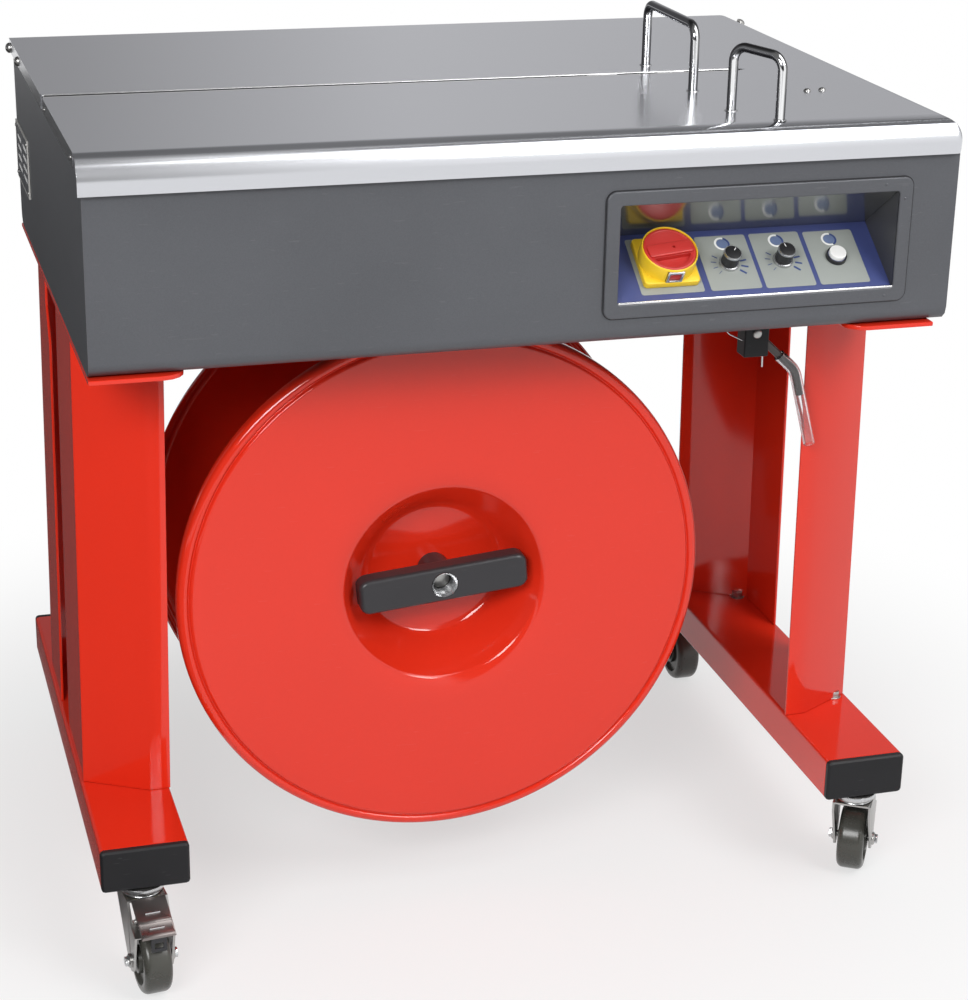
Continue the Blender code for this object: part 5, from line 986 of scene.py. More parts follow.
@dataclass
class TableLid(SubAssembly):
    """The brushed table with rolled edges, slot, bars and screws."""

    sheet: float = 0.002
    roll: float = 0.025
    roll_steps: int = 14
    drop: float = 0.037
    lip_return: float = 0.0008
    corner: float = 0.008
    corner_steps: int = 8
    flange: float = 0.015
    slot_y: float = -0.028
    slot_half: float = 0.010
    slot_reach: float = 0.305
    slot_tip: float = 0.0166
    slot_lift: float = 0.0012
    hinge_hole: float = 0.0033

    def build(self) -> None:
        """Make the table sheet, lips, bars and screws."""
        self.table_sheet()
        for word in ("front", "rear"):
            lip = self.redress("strap_track_" + word, Finishes.LIP, "zinc", 0.0014, 4)
            lip.data.transform(Matrix.Translation((0, 0, self.slot_lift)))
        self.anvils()
        self.slot_shade()
        self.bars()
        self.screws()

    def profile(self) -> list[Point]:
        """Return the rolled edge as (reach, height) from the roll's axis."""
        radius = self.roll
        points = [(radius * math.sin(turn), radius * math.cos(turn) - radius)
                  for turn in (math.pi / 2 * step / self.roll_steps
                               for step in range(self.roll_steps + 1))]
        points.append((radius - self.lip_return * 0.3, -self.drop + 0.004))
        points.append((radius - self.lip_return, -self.drop))
        return points

    def table_sheet(self) -> None:
        """Make the sheet with rolled front and right edges, a flange and the slot."""
        low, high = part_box("top_plate")
        left, right, front, rear, top = low.x, high.x, low.y, high.y, high.z
        spine_x, spine_y = right - self.roll, front + self.roll
        stations: list[tuple[Optional[Vector], Vector]] = [
            (Vector((spine_x, rear)), Vector((1, 0)))]
        for step in range(self.corner_steps + 1):
            turn = math.pi / 2 * step / self.corner_steps
            stations.append((None, Vector((math.cos(turn), -math.sin(turn)))))
        stations.append((Vector((left, spine_y)), Vector((0, -1))))
        mesh = bmesh.new()
        columns = []
        for spot, direction in stations:
            column = []
            for reach, height in self.profile():
                inset = self.roll - reach
                bend = max(self.corner - inset, 0.0)
                if spot is None:
                    middle = Vector((right - inset - bend, front + inset + bend))
                    place = middle + direction * bend
                else:
                    place = spot + direction * reach
                column.append(mesh.verts.new((place.x, place.y, top + height)))
            columns.append(column)
        for before, after in zip(columns, columns[1:]):
            for index in range(len(before) - 1):
                mesh.faces.new((before[index], before[index + 1], after[index + 1],
                                after[index]))
        back_corner = mesh.verts.new((left, rear, top))
        mesh.faces.new([back_corner] + [column[0] for column in columns])
        edge_rear = mesh.verts.new((left, rear, top - self.flange))
        edge_front = mesh.verts.new((left, spine_y, top - self.flange))
        mesh.faces.new((back_corner, columns[-1][0], edge_front, edge_rear))
        bmesh.ops.remove_doubles(mesh, verts=mesh.verts, dist=0.00001)
        bmesh.ops.recalc_face_normals(mesh, faces=mesh.faces)
        data = bpy.data.meshes.new("table_top")
        mesh.to_mesh(data)
        mesh.free()
        piece = bpy.data.objects.new("table_top", data)
        bpy.context.scene.collection.objects.link(piece)
        upward = max(piece.data.polygons, key=lambda face: face.area).normal.z
        if upward < 0:
            piece.data.flip_normals()
        Bench.apply(piece, "SOLIDIFY", thickness=self.sheet, offset=-1.0, use_even_offset=True)
        Bench.bevel(piece, 0.00035, 2, 50.0)
        slot = [(left - 0.01, self.slot_y - self.slot_half),
                (self.slot_reach, self.slot_y - self.slot_half),
                (self.slot_reach + self.slot_tip, self.slot_y),
                (self.slot_reach, self.slot_y + self.slot_half),
                (left - 0.01, self.slot_y + self.slot_half)]
        Bench.combine(piece, Bench.slab("slot_tool", slot, top - self.flange - 0.005, 0.03))
        hinge_low, hinge_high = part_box("hinge_rod")
        middle = (hinge_low + hinge_high) / 2
        for start in (left - 0.004, right - self.roll):
            Bench.combine(piece, Bench.drum("hole", (start, middle.y, middle.z), RIGHT,
                                            self.hinge_hole, self.roll + 0.01, 24))
        self.dress(piece, Finishes.TABLE, "lid", "table_steel", ("top_plate",), 40.0, True)

    def slot_shade(self) -> None:
        """Put black pieces in the strap track's groove and the slot's arrow point, as painted
        shade.
        """
        low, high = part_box("strap_track_rear")
        # Painted shade: a black piece stands where the groove shows its dark depth.
        groove_shade = Bench.block("slot_groove_painted_shade", (low.x + 0.001, self.slot_y + 0.0032, high.z - 0.0085),
                            (high.x - 0.0005, self.slot_y + 0.0042, high.z + 0.0006))
        self.dress(groove_shade, Finishes.BLACK, "lid", "black_plastic")
        # Painted shade: a black plate under the slot's arrow point.
        half = self.slot_half - 0.0006
        outline = [(self.slot_reach + x, self.slot_y + y)
                   for x, y in ((0.0002, -half), (0.0150, 0.0), (0.0002, half))]
        point = Bench.slab("slot_point_painted_shade", outline, high.z - 0.0004, 0.0012)
        self.dress(point, Finishes.BLACK, "lid", "black_plastic")

    def anvils(self) -> None:
        """Make the two bright anvils that show in the slot over the sealing head."""
        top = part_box("strap_track_front")[1].z + self.slot_lift - 0.0004
        anvils = [Bench.bevel(Bench.block("anvil", (left, self.slot_y - 0.0036, top - 0.004),
                                          (right, self.slot_y + 0.0036, top)), 0.0016, 4)
                  for left, right in ((0.1380, 0.1732), (0.2182, 0.2502))]
        self.dress(Bench.join("slot_anvils", anvils), Finishes.LIP, "lid", "zinc")

    def bars(self) -> None:
        """Make the two bars bent to a U, with a small foot ring under each end."""
        for name in ("u_bar_rear", "u_bar_front"):
            low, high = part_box(name)
            radius = 0.005
            top, foot = high.z - radius, low.z
            if name == "u_bar_rear":
                x = (low.x + high.x) / 2
                points = [(x, low.y + radius, foot), (x, low.y + radius, top),
                          (x, high.y - radius, top), (x, high.y - radius, foot)]
            else:
                points = [(0.2232, -0.2326, foot), (0.2232, -0.2326, top),
                          (0.2540, -0.2862, top - 0.004), (0.2540, -0.2862, foot)]
            bar = Bench.tube(name + "_rod", bent(points, 0.015, 10), radius, 32)
            self.dress(bar, Finishes.CHROME, "lid", "zinc", (name,), 50.0)
            collars = [Bench.turned("collar", [(0.0046, 0.0), (0.0068, 0.0), (0.0066, 0.0006),
                                               (0.0052, 0.0012)],
                                    (spot[0], spot[1], foot - 0.0002), Axis.Z, 32)
                       for spot in (points[0], points[-1])]
            self.dress(Bench.join(name + "_feet", collars), Finishes.STEEL, "lid", "zinc")

    def screws(self) -> None:
        """Add the screws on the table and on its left flange."""
        low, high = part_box("top_plate")
        left, top = low.x, high.z
        self.fasten("table_screws", Fasteners.dome("table_screw", 0.0040, 0.0028),
                    [((x, y, top), (0, 0, 1), x * 30)
                     for x, y in ((0.3405, -0.155), (0.3585, -0.153))], "lid")
        self.fasten("flange_screws", Fasteners.dome("flange_screw", 0.0055, 0.0042, False),
                    [((left, 0.211, top - 0.009), (-1, 0, 0))], "lid")
        self.fasten("tiny_screws", Fasteners.dome("tiny_screw", 0.0022, 0.0014, False),
                    [((left, -0.052, top - 0.009), (-1, 0, 0)),
                     ((left, -0.272, top - 0.008), (-1, 0, 0))], "lid")


@dataclass
class PanelSpace:
    """Places on the sloping control panel as (x, up the slope, lift)."""

    start: Vector = field(default_factory=lambda: Vector((0.0, -0.3045, 0.7065)))
    slope: Vector = field(default_factory=lambda: Vector((0.0, 0.82123, 0.57061)))

    @property
    def normal(self) -> Vector:
        """Return the direction straight out of the panel."""
        return Vector((0.0, -self.slope.z, self.slope.y))

    def at(self, across: float, along: float, lift: float = 0.0) -> Vector:
        """Return a place in space."""
        return self.start + Vector((across, 0, 0)) + self.slope * along + self.normal * lift

    def place(self, across: float, along: float) -> Matrix:
        """Return the matrix that moves a piece made about Z on to the panel."""
        matrix = Matrix((RIGHT, self.slope, self.normal)).transposed().to_4x4()
        matrix.translation = self.at(across, along)
        return matrix


@dataclass
class ControlRecess(SubAssembly):
    """The sunk control box: frame, walls, printed panel and its controls."""

    panel: PanelSpace = field(default_factory=PanelSpace)
    border: float = 0.0145
    height: float = 0.130
    frame_corner: float = 0.010
    frame_depth: float = 0.003
    wall: float = 0.0016
    depth: float = 0.075
    fields: Sequence[tuple[float, float, float, float]] = (
        (0.112, 0.009, 0.180, 0.082), (0.187, 0.009, 0.2425, 0.0805),
        (0.247, 0.008, 0.302, 0.0805), (0.307, 0.008, 0.362, 0.079))
    icons: Sequence[Point] = ((0.2152, 0.0695), (0.2748, 0.0694), (0.3337, 0.0672))
    knobs: Sequence[tuple[str, float, float]] = (("timer", 0.215, -38.0), ("tension", 0.2745, 12.0))
    row: float = 0.043
    button_x: float = 0.334
    switch_x: float = 0.146
    switch_row: float = 0.047

    def build(self) -> None:
        """Make the recess, the print and the controls."""
        self.surround()
        self.recess_walls()
        self.foil()
        self.print_marks()
        self.main_switch()
        for name, across, turn in self.knobs:
            self.knob(name, across, turn)
        self.button()

    def surround(self) -> None:
        """Make the raised frame round the recess with a painted shadow line, and its bright lower
        lip.
        """
        low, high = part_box("control_bezel")
        left, floor, right, top = self.opening()
        face = low.y + self.frame_depth
        bottom = floor - self.border
        rim = 0.0011
        plate = Bench.slab("bezel_frame", rounded(low.x, bottom, high.x, high.z,
                                                  self.frame_corner), face, -self.frame_depth, True)
        # Painted shadow line: a glossy black strip a little wider than the frame, set behind it.
        shadow_line = Bench.slab("bezel_painted_shadow_line", rounded(
            low.x - rim, bottom - rim, high.x + rim, high.z + rim, self.frame_corner + rim),
                            face + 0.0002, -0.0010, True)
        for sheet in (plate, shadow_line):
            Bench.combine(sheet, Bench.slab("mouth", rounded(left, floor, right, top, 0.003, 4),
                                            face + 0.01, -0.03, True))
        Bench.bevel(plate, 0.0020, 4, 40.0)
        self.dress(plate, Finishes.CHARCOAL, "root", "charcoal", ("control_bezel",), 40.0, True)
        self.dress(shadow_line, Finishes.GLOSS_BLACK, "root", "black_gloss")
        lip = Bench.block("recess_lip", (left + 0.0004, low.y + 0.0001, floor),
                          (right - 0.0004, low.y + 0.0026, floor + 0.0022))
        self.dress(Bench.bevel(lip, 0.0007, 3), Finishes.LIP, "root", "steel")
        dent = Fasteners.dome("dent", 0.0016, 0.0006, False)
        places = [Fasteners.facing((x, low.y, z), (0, -1, 0))
                  for x, z in ((0.3665, 0.8155), (0.3885, 0.800), (0.3735, 0.6985))]
        self.dress(Bench.spread("frame_rivets", dent, places), Finishes.CHARCOAL, "root",
                   "charcoal")

    def opening(self) -> tuple[float, float, float, float]:
        """Return the opening as left, bottom, right and top."""
        low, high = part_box("control_bezel")
        return (low.x + self.border, high.z - self.height + self.border,
                high.x - self.border, high.z - self.border)

    def recess_walls(self) -> None:
        """Make the satin walls of the box with painted shade, and the polished wall that leans
        forward in it.
        """
        left, bottom, right, top = self.opening()
        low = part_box("control_bezel")[0]
        face = low.y + self.frame_depth
        back = self.panel.start.y + self.depth
        floor = low.z + self.wall
        wall = self.wall
        shell = Bench.block("recess_box", (left - wall, face, floor - wall),
                            (right + wall, back, top + wall))
        room = Bench.block("room", (left, face - 0.01, floor), (right, back - wall, top))
        Bench.combine(shell, room)
        Bench.bevel(shell, 0.0004, 1, 60.0)
        # The darker charcoal is painted shade for the inside of the recess.
        self.dress(shell, Finishes.CHARCOAL_SHADED, "root", "charcoal", (), 30.0)
        foot, crest = Vector((0, -0.2320, 0.7570)), Vector((0, -0.3035, top - 0.0007))
        lean = (crest - foot).normalized()
        corners = [foot + Vector((left + 0.0003, 0, 0)), foot + Vector((right - 0.0003, 0, 0)),
                   crest + Vector((right - 0.0003, 0, 0)), crest + Vector((left + 0.0003, 0, 0))]
        sheet = Bench.plate("recess_back", corners, Vector((0, lean.z, -lean.y)) * 0.0006)
        self.dress(sheet, Finishes.MIRROR, "root", "black_gloss")

    def foil(self) -> None:
        """Make the blue foil on the panel and the four printed fields."""
        piece = Bench.copy_of("control_panel", "panel_foil")
        self.dress(piece, Finishes.BLUE, "root", "panel_blue", ("control_panel",), 30.0)
        plates = [Bench.bevel(self.printed("field", rounded(*corners, 0.0028, 6), 0.00005, 0.0003),
                              0.0001, 1, 50.0) for corners in self.fields]
        self.dress(Bench.join("printed_fields", plates), Finishes.FIELD, "root", "panel_blue")

    def printed(self, name: str, outline: Sequence[Point], lift: float = 0.00036,
                rise: float = 0.00016) -> Piece:
        """Return a thin layer of print over an outline on the panel."""
        points = [self.panel.at(x, along, lift) for x, along in outline]
        return Bench.plate(name, points, self.panel.normal * rise)

    def print_marks(self) -> None:
        """Make the round icons and the dial strokes that widen clockwise."""
        rings, bows, discs, strokes = [], [], [], []
        for spot in self.icons:
            for group, begin, end in ((rings, 72, 292), (bows, 296, 428)):
                group.append(self.printed("icon_ring", ring(0.0084, 40, begin, end, spot)
                                          + ring(0.0063, 40, end, begin, spot)))
            discs.append(self.printed("icon_disc", ring(0.0060, 32, centre=spot)))
        for _, across, _ in self.knobs:
            for index in range(11):
                turn = math.radians(222 - index * 26.4)
                if 62 < math.degrees(turn) < 118:
                    continue
                width = 0.00028 + 0.00008 * index
                inner, outer = 0.0132, 0.0182 + 0.0003 * index
                middle = Vector((across, self.row))
                direction = Vector((math.cos(turn), math.sin(turn)))
                side = Vector((-direction.y, direction.x)) * width
                strokes.append(self.printed("stroke", [
                    middle + direction * inner - side, middle + direction * outer - side,
                    middle + direction * outer + side, middle + direction * inner + side]))
        for name, marks, finish, slot in (
                ("icon_rings", rings, Finishes.PRINT_WHITE, "white"),
                ("icon_bows", bows, Finishes.PRINT_BLUE, "panel_blue"),
                ("icon_discs", discs, Finishes.PRINT_SLATE, "panel_blue"),
                ("dial_strokes", strokes, Finishes.PRINT_BLUE, "panel_blue")):
            self.dress(Bench.join(name, marks), finish, "root", slot)

    def main_switch(self) -> None:
        """Make the yellow base with its collar and the red handle with a grip bar."""
        place = self.panel.place(self.switch_x, self.switch_row)
        base = Bench.slab("switch_plate", rounded(-0.030, -0.030, 0.030, 0.030, 0.0045, 6),
                          0.0004, 0.0075)
        Bench.bevel(base, 0.0012, 3, 50.0)
        collar = Bench.turned("switch_collar", [
            (0.0270, 0.007), (0.0298, 0.007), (0.0297, 0.009), (0.0295, 0.0235),
            (0.0291, 0.0250), (0.0285, 0.0256), (0.0280, 0.0254), (0.0278, 0.0245),
            (0.0278, 0.012)], steps=72)
        notch = Bench.block("notch", (-0.0090, -0.0310, 0.0080), (0.0090, -0.0245, 0.0232))
        Bench.combine(collar, notch)
        Bench.bevel(collar, 0.0003, 1, 50.0)
        self.dress(Bench.join("switch_body", [base, collar]), Finishes.YELLOW, "root", "yellow",
                   ("switch_base",), 40.0, place=place)
        frame_bar = Bench.block("hasp", (-0.0088, -0.0300, 0.0078), (0.0088, -0.0272, 0.0230))
        hole = Bench.block("hole", (-0.0060, -0.040, 0.0105), (0.0060, -0.020, 0.0198))
        Bench.combine(frame_bar, hole)
        Bench.bevel(frame_bar, 0.0006, 2)
        self.dress(frame_bar, Finishes.STEEL, "root", "steel", place=place)
        inner = Bench.block("hasp_back", (-0.0082, -0.0276, 0.0082), (0.0082, -0.0262, 0.0224))
        Bench.bevel(inner, 0.0003, 1)
        self.dress(inner, Finishes.SWITCH_RED, "root", "switch_red", place=place)
        self.switch_handle(place)

    def switch_handle(self, place: Matrix) -> None:
        """Make the red disc with its grip and the pocket beside it."""
        disc = Bench.turned("switch_disc", [
            (0.0, -0.0115), (0.003, -0.0115), (0.003, 0.0152), (0.0273, 0.0152),
            (0.0274, 0.0238), (0.0269, 0.0246), (0.0248, 0.0248), (0.0238, 0.0241),
            (0.0, 0.0239)], steps=72, closed=False)
        tilt = math.radians(7)
        pocket = Bench.slab("pocket", [(x, -y) for x, y in ring(0.0220, 20, 22, 158)
                                       if y > 0.0082], 0.0185, 0.01)
        pocket.rotation_euler[2] = tilt
        Bench.combine(disc, Bench.settle(pocket))
        Bench.bevel(disc, 0.0004, 2, 50.0)
        grip = Bench.slab("grip", rounded(-0.0245, -0.0078, 0.0245, 0.0078, 0.0035, 5),
                          0.0222, 0.0046)
        Bench.bevel(grip, 0.0012, 3, 50.0)
        grip.rotation_euler[2] = tilt
        Bench.settle(grip)
        eye = Bench.drum("eye", (0.004, 0.001, 0.0235), UP, 0.0016, 0.01, 20)
        Bench.combine(grip, eye)
        self.dress(Bench.join("switch_handle", [disc, grip]), Finishes.SWITCH_RED, "switch",
                   "switch_red", ("switch_knob",), 40.0, place=place)

    def knob(self, name: str, across: float, turn: float) -> None:
        """Make one fluted knob with silver rings and a pointer line.

        Args:
            name: Which knob.
            across: Its place along the panel.
            turn: Where its pointer stands, in degrees.
        """
        place = self.panel.place(across, self.row) @ Matrix.Rotation(math.radians(turn), 4, "Z")
        barrel = Bench.turned(name + "_barrel", [
            (0.0, -0.0115), (0.003, -0.0115), (0.003, 0.0022), (0.0092, 0.0022),
            (0.0090, 0.0158), (0.0085, 0.0164), (0.0, 0.0164)], steps=72,
            closed=False)
        flutes = []
        for index in range(20):
            angle = 2 * math.pi * index / 20
            flutes.append(Bench.drum("flute", (0.0099 * math.cos(angle), 0.0099 * math.sin(angle),
                                               0.0040), UP, 0.0011, 0.0108, 10))
        Bench.combine(barrel, Bench.join("flutes", flutes))
        self.dress(barrel, Finishes.GLOSS_BLACK, name, "black_plastic", (name + "_knob",), 32.0,
                   place=place)
        skirt = Bench.turned("skirt", [(0.0082, 0.0004), (0.0108, 0.0004), (0.0109, 0.0018),
                                       (0.0102, 0.0033), (0.0090, 0.0036)],
                             steps=56)
        band = Bench.turned("band", [(0.0082, 0.0158), (0.0095, 0.0158), (0.0095, 0.0176),
                                     (0.0091, 0.0184), (0.0082, 0.0184)], steps=56)
        self.dress(Bench.join(name + "_rings", [skirt, band]), Finishes.STEEL, name, "zinc", (),
                   40.0, place=place)
        cap = Bench.turned("cap", [(0.0, 0.0162), (0.0084, 0.0162), (0.0084, 0.0184),
                                   (0.0077, 0.0188), (0.0, 0.0188)], steps=48,
                           closed=False)
        cap.name = name + "_cap"
        self.dress(cap, Finishes.BLACK, name, "black_plastic", (), 40.0, place=place)
        line = Bench.block(name + "_pointer", (-0.0004, 0.0030, 0.0186),
                           (0.0004, 0.0072, 0.0190))
        Bench.bevel(line, 0.0001, 1)
        self.dress(line, Finishes.PRINT_WHITE, name, "white", place=place)

    def button(self) -> None:
        """Make the white ribbed push button in its black collar."""
        place = self.panel.place(self.button_x, self.row)
        collar = Bench.turned("button_collar", [
            (0.0094, 0.0004), (0.0112, 0.0004), (0.0112, 0.0030), (0.0107, 0.0050),
            (0.0101, 0.0052), (0.0095, 0.0046)], steps=56)
        self.dress(collar, Finishes.GLOSS_BLACK, "root", "black_plastic", (), 40.0, place=place)
        cap = Bench.turned("button_cap", [
            (0.0, -0.0115), (0.003, -0.0115), (0.003, 0.0034), (0.0090, 0.0034),
            (0.0090, 0.0082), (0.0086, 0.0090), (0.0079, 0.0092), (0.0, 0.0090)],
            steps=56, closed=False)
        self.dress(cap, Finishes.WHITE, "button", "white", ("push_button",), 40.0, place=place)
        ribs = []
        for index in range(-7, 8):
            spot, half = index * MM, 0.0002
            reach = math.sqrt(0.0077 ** 2 - spot ** 2)
            ribs.append(Bench.block("rib", (spot - half, -reach, 0.0089),
                                    (spot + half, reach, 0.0093)))
            ribs.append(Bench.block("rib", (-reach, spot - half, 0.0089),
                                    (reach, spot + half, 0.0093)))
        self.dress(Bench.join("button_grid", ribs), Finishes.WHITE, "button", "white",
                   place=place)


@dataclass
class StrapReel(SubAssembly):
    """Two dished flanges, core, axle, bracket and the T handle."""

    x: float = -0.059
    z: float = 0.3675
    front: float = -0.190
    rear: float = 0.045
    sheet: float = 0.002
    steps: int = 160

    def build(self) -> None:
        """Make the reel and what carries it."""
        self.flange("flange_front", self.front, 1.0)
        self.flange("flange_rear", self.rear, -1.0)
        self.core()
        self.axle()
        self.redress("reel_bracket", Finishes.RED, "red_paint", 0.0008)
        self.handle()

    def face_profile(self) -> list[Point]:
        """Return the flange's outer face as (radius, depth) from rim to hub."""
        rim = [(0.2904, 0.0160), (0.2904, 0.0104), (0.2897, 0.0062), (0.2880, 0.0030),
               (0.2853, 0.0012), (0.2828, 0.0007), (0.2808, 0.0012), (0.2794, 0.0026),
               (0.2785, 0.0037), (0.2776, 0.0034), (0.2766, 0.0014), (0.2752, 0.0003),
               (0.2730, 0.0)]
        dish = eased([(0.1400, 0.0), (0.1330, 0.0003), (0.1244, 0.0013), (0.1169, 0.0030),
                      (0.1125, 0.0047), (0.1100, 0.0066), (0.1081, 0.0092), (0.1040, 0.0150),
                      (0.0960, 0.0264), (0.0880, 0.0379), (0.0820, 0.0462), (0.0772, 0.0514),
                      (0.0735, 0.0540), (0.0700, 0.0550)], 4)
        return eased(rim, 3) + [(0.2400, 0.0), (0.1900, 0.0)] + dish + [(0.0400, 0.0550),
                                                                     (0.0106, 0.0550)]

    def flange(self, node: str, face: float, way: float) -> None:
        """Spin one flange's face and give it the sheet's thickness inwards."""
        profile = [(radius, way * depth) for radius, depth in self.face_profile()]
        skin = Bench.turned(node + "_sheet", profile, (self.x, face, self.z), Axis.Y,
                            self.steps, closed=False)
        widest = max(skin.data.polygons, key=lambda item: item.area)
        if widest.normal.y * way > 0:
            skin.data.flip_normals()
        Bench.apply(skin, "SOLIDIFY", thickness=self.sheet, offset=-1.0)
        self.dress(skin, Finishes.RED, "reel", "red_paint", (node,), 50.0)

    def core(self) -> None:
        """Make the drum between the flanges, with a flanged collar at each end."""
        low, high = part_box("reel_core")
        radius = (high.x - low.x) / 2
        tube = Bench.turned("reel_drum", [
            (0.0106, low.y), (radius + 0.004, low.y), (radius + 0.004, low.y + 0.003),
            (radius, low.y + 0.004), (radius, high.y - 0.004), (radius + 0.004, high.y - 0.003),
            (radius + 0.004, high.y), (0.0106, high.y)], (self.x, 0, self.z), Axis.Y, 64)
        self.dress(tube, Finishes.STEEL, "reel", "steel", ("reel_core",), 40.0)

    def axle(self) -> None:
        """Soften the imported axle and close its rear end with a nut."""
        self.redress("reel_axle", Finishes.ZINC, "zinc", 0.0006, 2, 50.0, False)
        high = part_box("reel_axle")[1]
        self.fasten("axle_nut", Fasteners.hex_head("axle_nut", 0.024, 0.009, 0.002),
                    [((self.x, high.y, self.z), (0, 1, 0), 0.3)])
        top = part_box("reel_bracket")[1].z
        self.fasten("bracket_bolts", Fasteners.hex_head("bracket_bolt", 0.013, 0.0052, 0.0014),
                    [((self.x + dx, 0.099, top - 0.004), (0, 0, -1), dx)
                     for dx in (-0.042, 0.042)])

    def handle(self) -> None:
        """Make the T handle with its stem and the threaded insert."""
        low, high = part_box("reel_handle")
        face, reach = low.y, high.y - low.y
        length, height, depth, taper = 0.188, 0.0430, 0.036, 0.011
        outline = [(x, z * (1 - 0.10 * (2 * abs(x) / length) ** 2)) for x, z in
                   rounded(-length / 2, -height / 2, length / 2, height / 2, 0.011)]
        spine = Bench.slab("handle_bar", outline, 0.0, depth - taper, True)
        Bench.bevel(spine, 0.0055, 5, 50.0)
        self.narrow_back(spine, depth - taper, taper, length, height)
        stem = Bench.turned("stem", [(0.0, 0.012), (0.0178, 0.012), (0.0178, depth + 0.006),
                                     (0.0173, reach), (0.0, reach)],
                            (0, 0, 0), Axis.Y, 56, closed=False)
        Bench.combine(spine, stem, "UNION")
        for bore, deep in ((0.0148, 0.0335), (0.0106, 0.1)):
            Bench.combine(spine, Bench.drum("bore", (0, -0.01, 0), BACK, bore, deep, 48))
        turn = Matrix.Translation((self.x, face, self.z)) @ Matrix.Rotation(
            -math.radians(5.3), 4, "Y")
        spine.name = "handle_t"
        self.dress(spine, Finishes.SATIN_BLACK, "handle", "black_plastic", ("reel_handle",),
                   40.0, True, turn)
        thread = [point for index in range(10) for point in (
            (0.0122, 0.0030 + index * 0.002), (0.0113, 0.0040 + index * 0.002))]
        insert = Bench.turned("handle_insert", [(0.0122, 0.0234), (0.0146, 0.0215),
                                                (0.0146, 0.0006), (0.0141, -0.0003),
                                                (0.0130, 0.0012)] + thread,
                              (0, 0, 0), Axis.Y, 56)
        self.dress(insert, Finishes.STEEL, "handle", "zinc", (), 24.0, place=turn)

    @staticmethod
    def narrow_back(spine: Piece, depth: float, taper: float, length: float,
                    height: float) -> None:
        """Pull the bar's back face out and narrow it, so that its back edges slope.

        Args:
            spine: The bar, with its front at the origin.
            depth: Where the back face lies.
            taper: How far it is pulled out. It loses as much at each end, and a tenth of it
                at the top and the bottom.
            length: The bar's length.
            height: The bar's height.
        """
        Bench.pick(spine)
        bpy.ops.object.mode_set(mode="EDIT")
        bpy.ops.mesh.select_mode(type="FACE")
        bpy.ops.mesh.select_all(action="DESELECT")
        mesh = bmesh.from_edit_mesh(spine.data)
        for part in mesh.faces:
            part.select_set(part.normal.y > 0.99 and part.calc_center_median().y > depth - MM)
        bmesh.update_edit_mesh(spine.data)
        bpy.ops.mesh.extrude_region_move(TRANSFORM_OT_translate={"value": (0.0, taper, 0.0)})
        bpy.ops.transform.resize(value=(1 - 2 * taper / length, 1.0, 1 - 0.2 * taper / height),
                                 center_override=(0.0, depth + taper, 0.0))
        bpy.ops.mesh.select_mode(type="VERT")
        bpy.ops.object.mode_set(mode="OBJECT")
        Bench.bevel(spine, 0.0030, 4, 40.0)


@dataclass
class BrakeLever(SubAssembly):
    """The black block under the housing, its bent rod, clear sleeve and bolts."""

    x: float = 0.277
    y: float = -0.200
    pivot_z: float = 0.6345

    def build(self) -> None:
        """Make the lever and what carries it."""
        self.redress("lever_block", Finishes.BLACK, "black_plastic", 0.0010, 3)
        self.rod()
        self.fittings()

    def rod(self) -> None:
        """Make the bent rod with its eye, and the clear sleeve over it."""
        pivot = Vector((self.x, self.y, self.pivot_z))
        bend = pivot + Vector((0.051, 0, -0.048))
        end = bend + Vector((0.022, 0, -0.082))
        along = (bend - pivot).normalized()
        down = (end - bend).normalized()
        rod = Bench.tube("lever_rod", bent([pivot + along * 0.0078, bend, bend + down * 0.0285],
                                           0.030, 14), 0.0043, 28)
        eye = Bench.turned("eye", [(0.0046, -0.004), (0.009, -0.004), (0.009, 0.004),
                                   (0.0046, 0.004)], pivot, Axis.Y, 40)
        Bench.bevel(eye, 0.0005, 2)
        Bench.combine(rod, eye, "UNION")
        self.dress(rod, Finishes.BLACK_STEEL, "lever", "zinc", ("brake_lever",), 40.0)
        begin = bend - along * 0.027
        tip = end + down * 0.004
        path = bent([begin, bend, tip], 0.030, 14)
        sleeve = Bench.tube("lever_sleeve_skin", path, 0.0065, 32)
        room = [path[0] - (path[1] - path[0]).normalized() * 0.004] + path
        room.append(path[-1] + (path[-1] - path[-2]).normalized() * 0.004)
        Bench.combine(sleeve, Bench.tube("room", room, 0.0047, 24))
        self.dress(sleeve, Finishes.CLEAR, "lever", "sleeve", ("lever_sleeve",), 40.0)

    def fittings(self) -> None:
        """Add the bolt on the block, the pivot's heads and the split pin."""
        low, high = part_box("lever_block")
        self.fasten("block_bolts", Fasteners.hex_head("block_bolt", 0.010, 0.0045, 0.001),
                    [((self.x + 0.006, low.y, high.z - 0.007), (0, -1, 0), 0.2)])
        self.fasten("pivot_heads", Fasteners.dome("pivot_head", 0.0052, 0.0026, False),
                    [((self.x, low.y, self.pivot_z), (0, -1, 0)),
                     ((self.x, high.y, self.pivot_z), (0, 1, 0))])
        pin = Bench.tube("split_pin", [Vector((self.x + 0.008, self.y - 0.008, low.z + 0.006)),
                                       Vector((self.x + 0.0085, self.y - 0.008, low.z - 0.012))],
                         0.0012, 12)
        self.dress(pin, Finishes.STEEL, "root", "steel")
        wire = Bench.tube("pull_wire", bent([
            Vector((self.x - 0.012, self.y - 0.004, low.z + 0.017)),
            Vector((self.x - 0.030, self.y - 0.004, low.z + 0.026)),
            Vector((self.x - 0.052, self.y + 0.004, high.z + 0.001))], 0.010, 6), 0.0007, 10)
        self.dress(wire, Finishes.STEEL, "root", "steel")


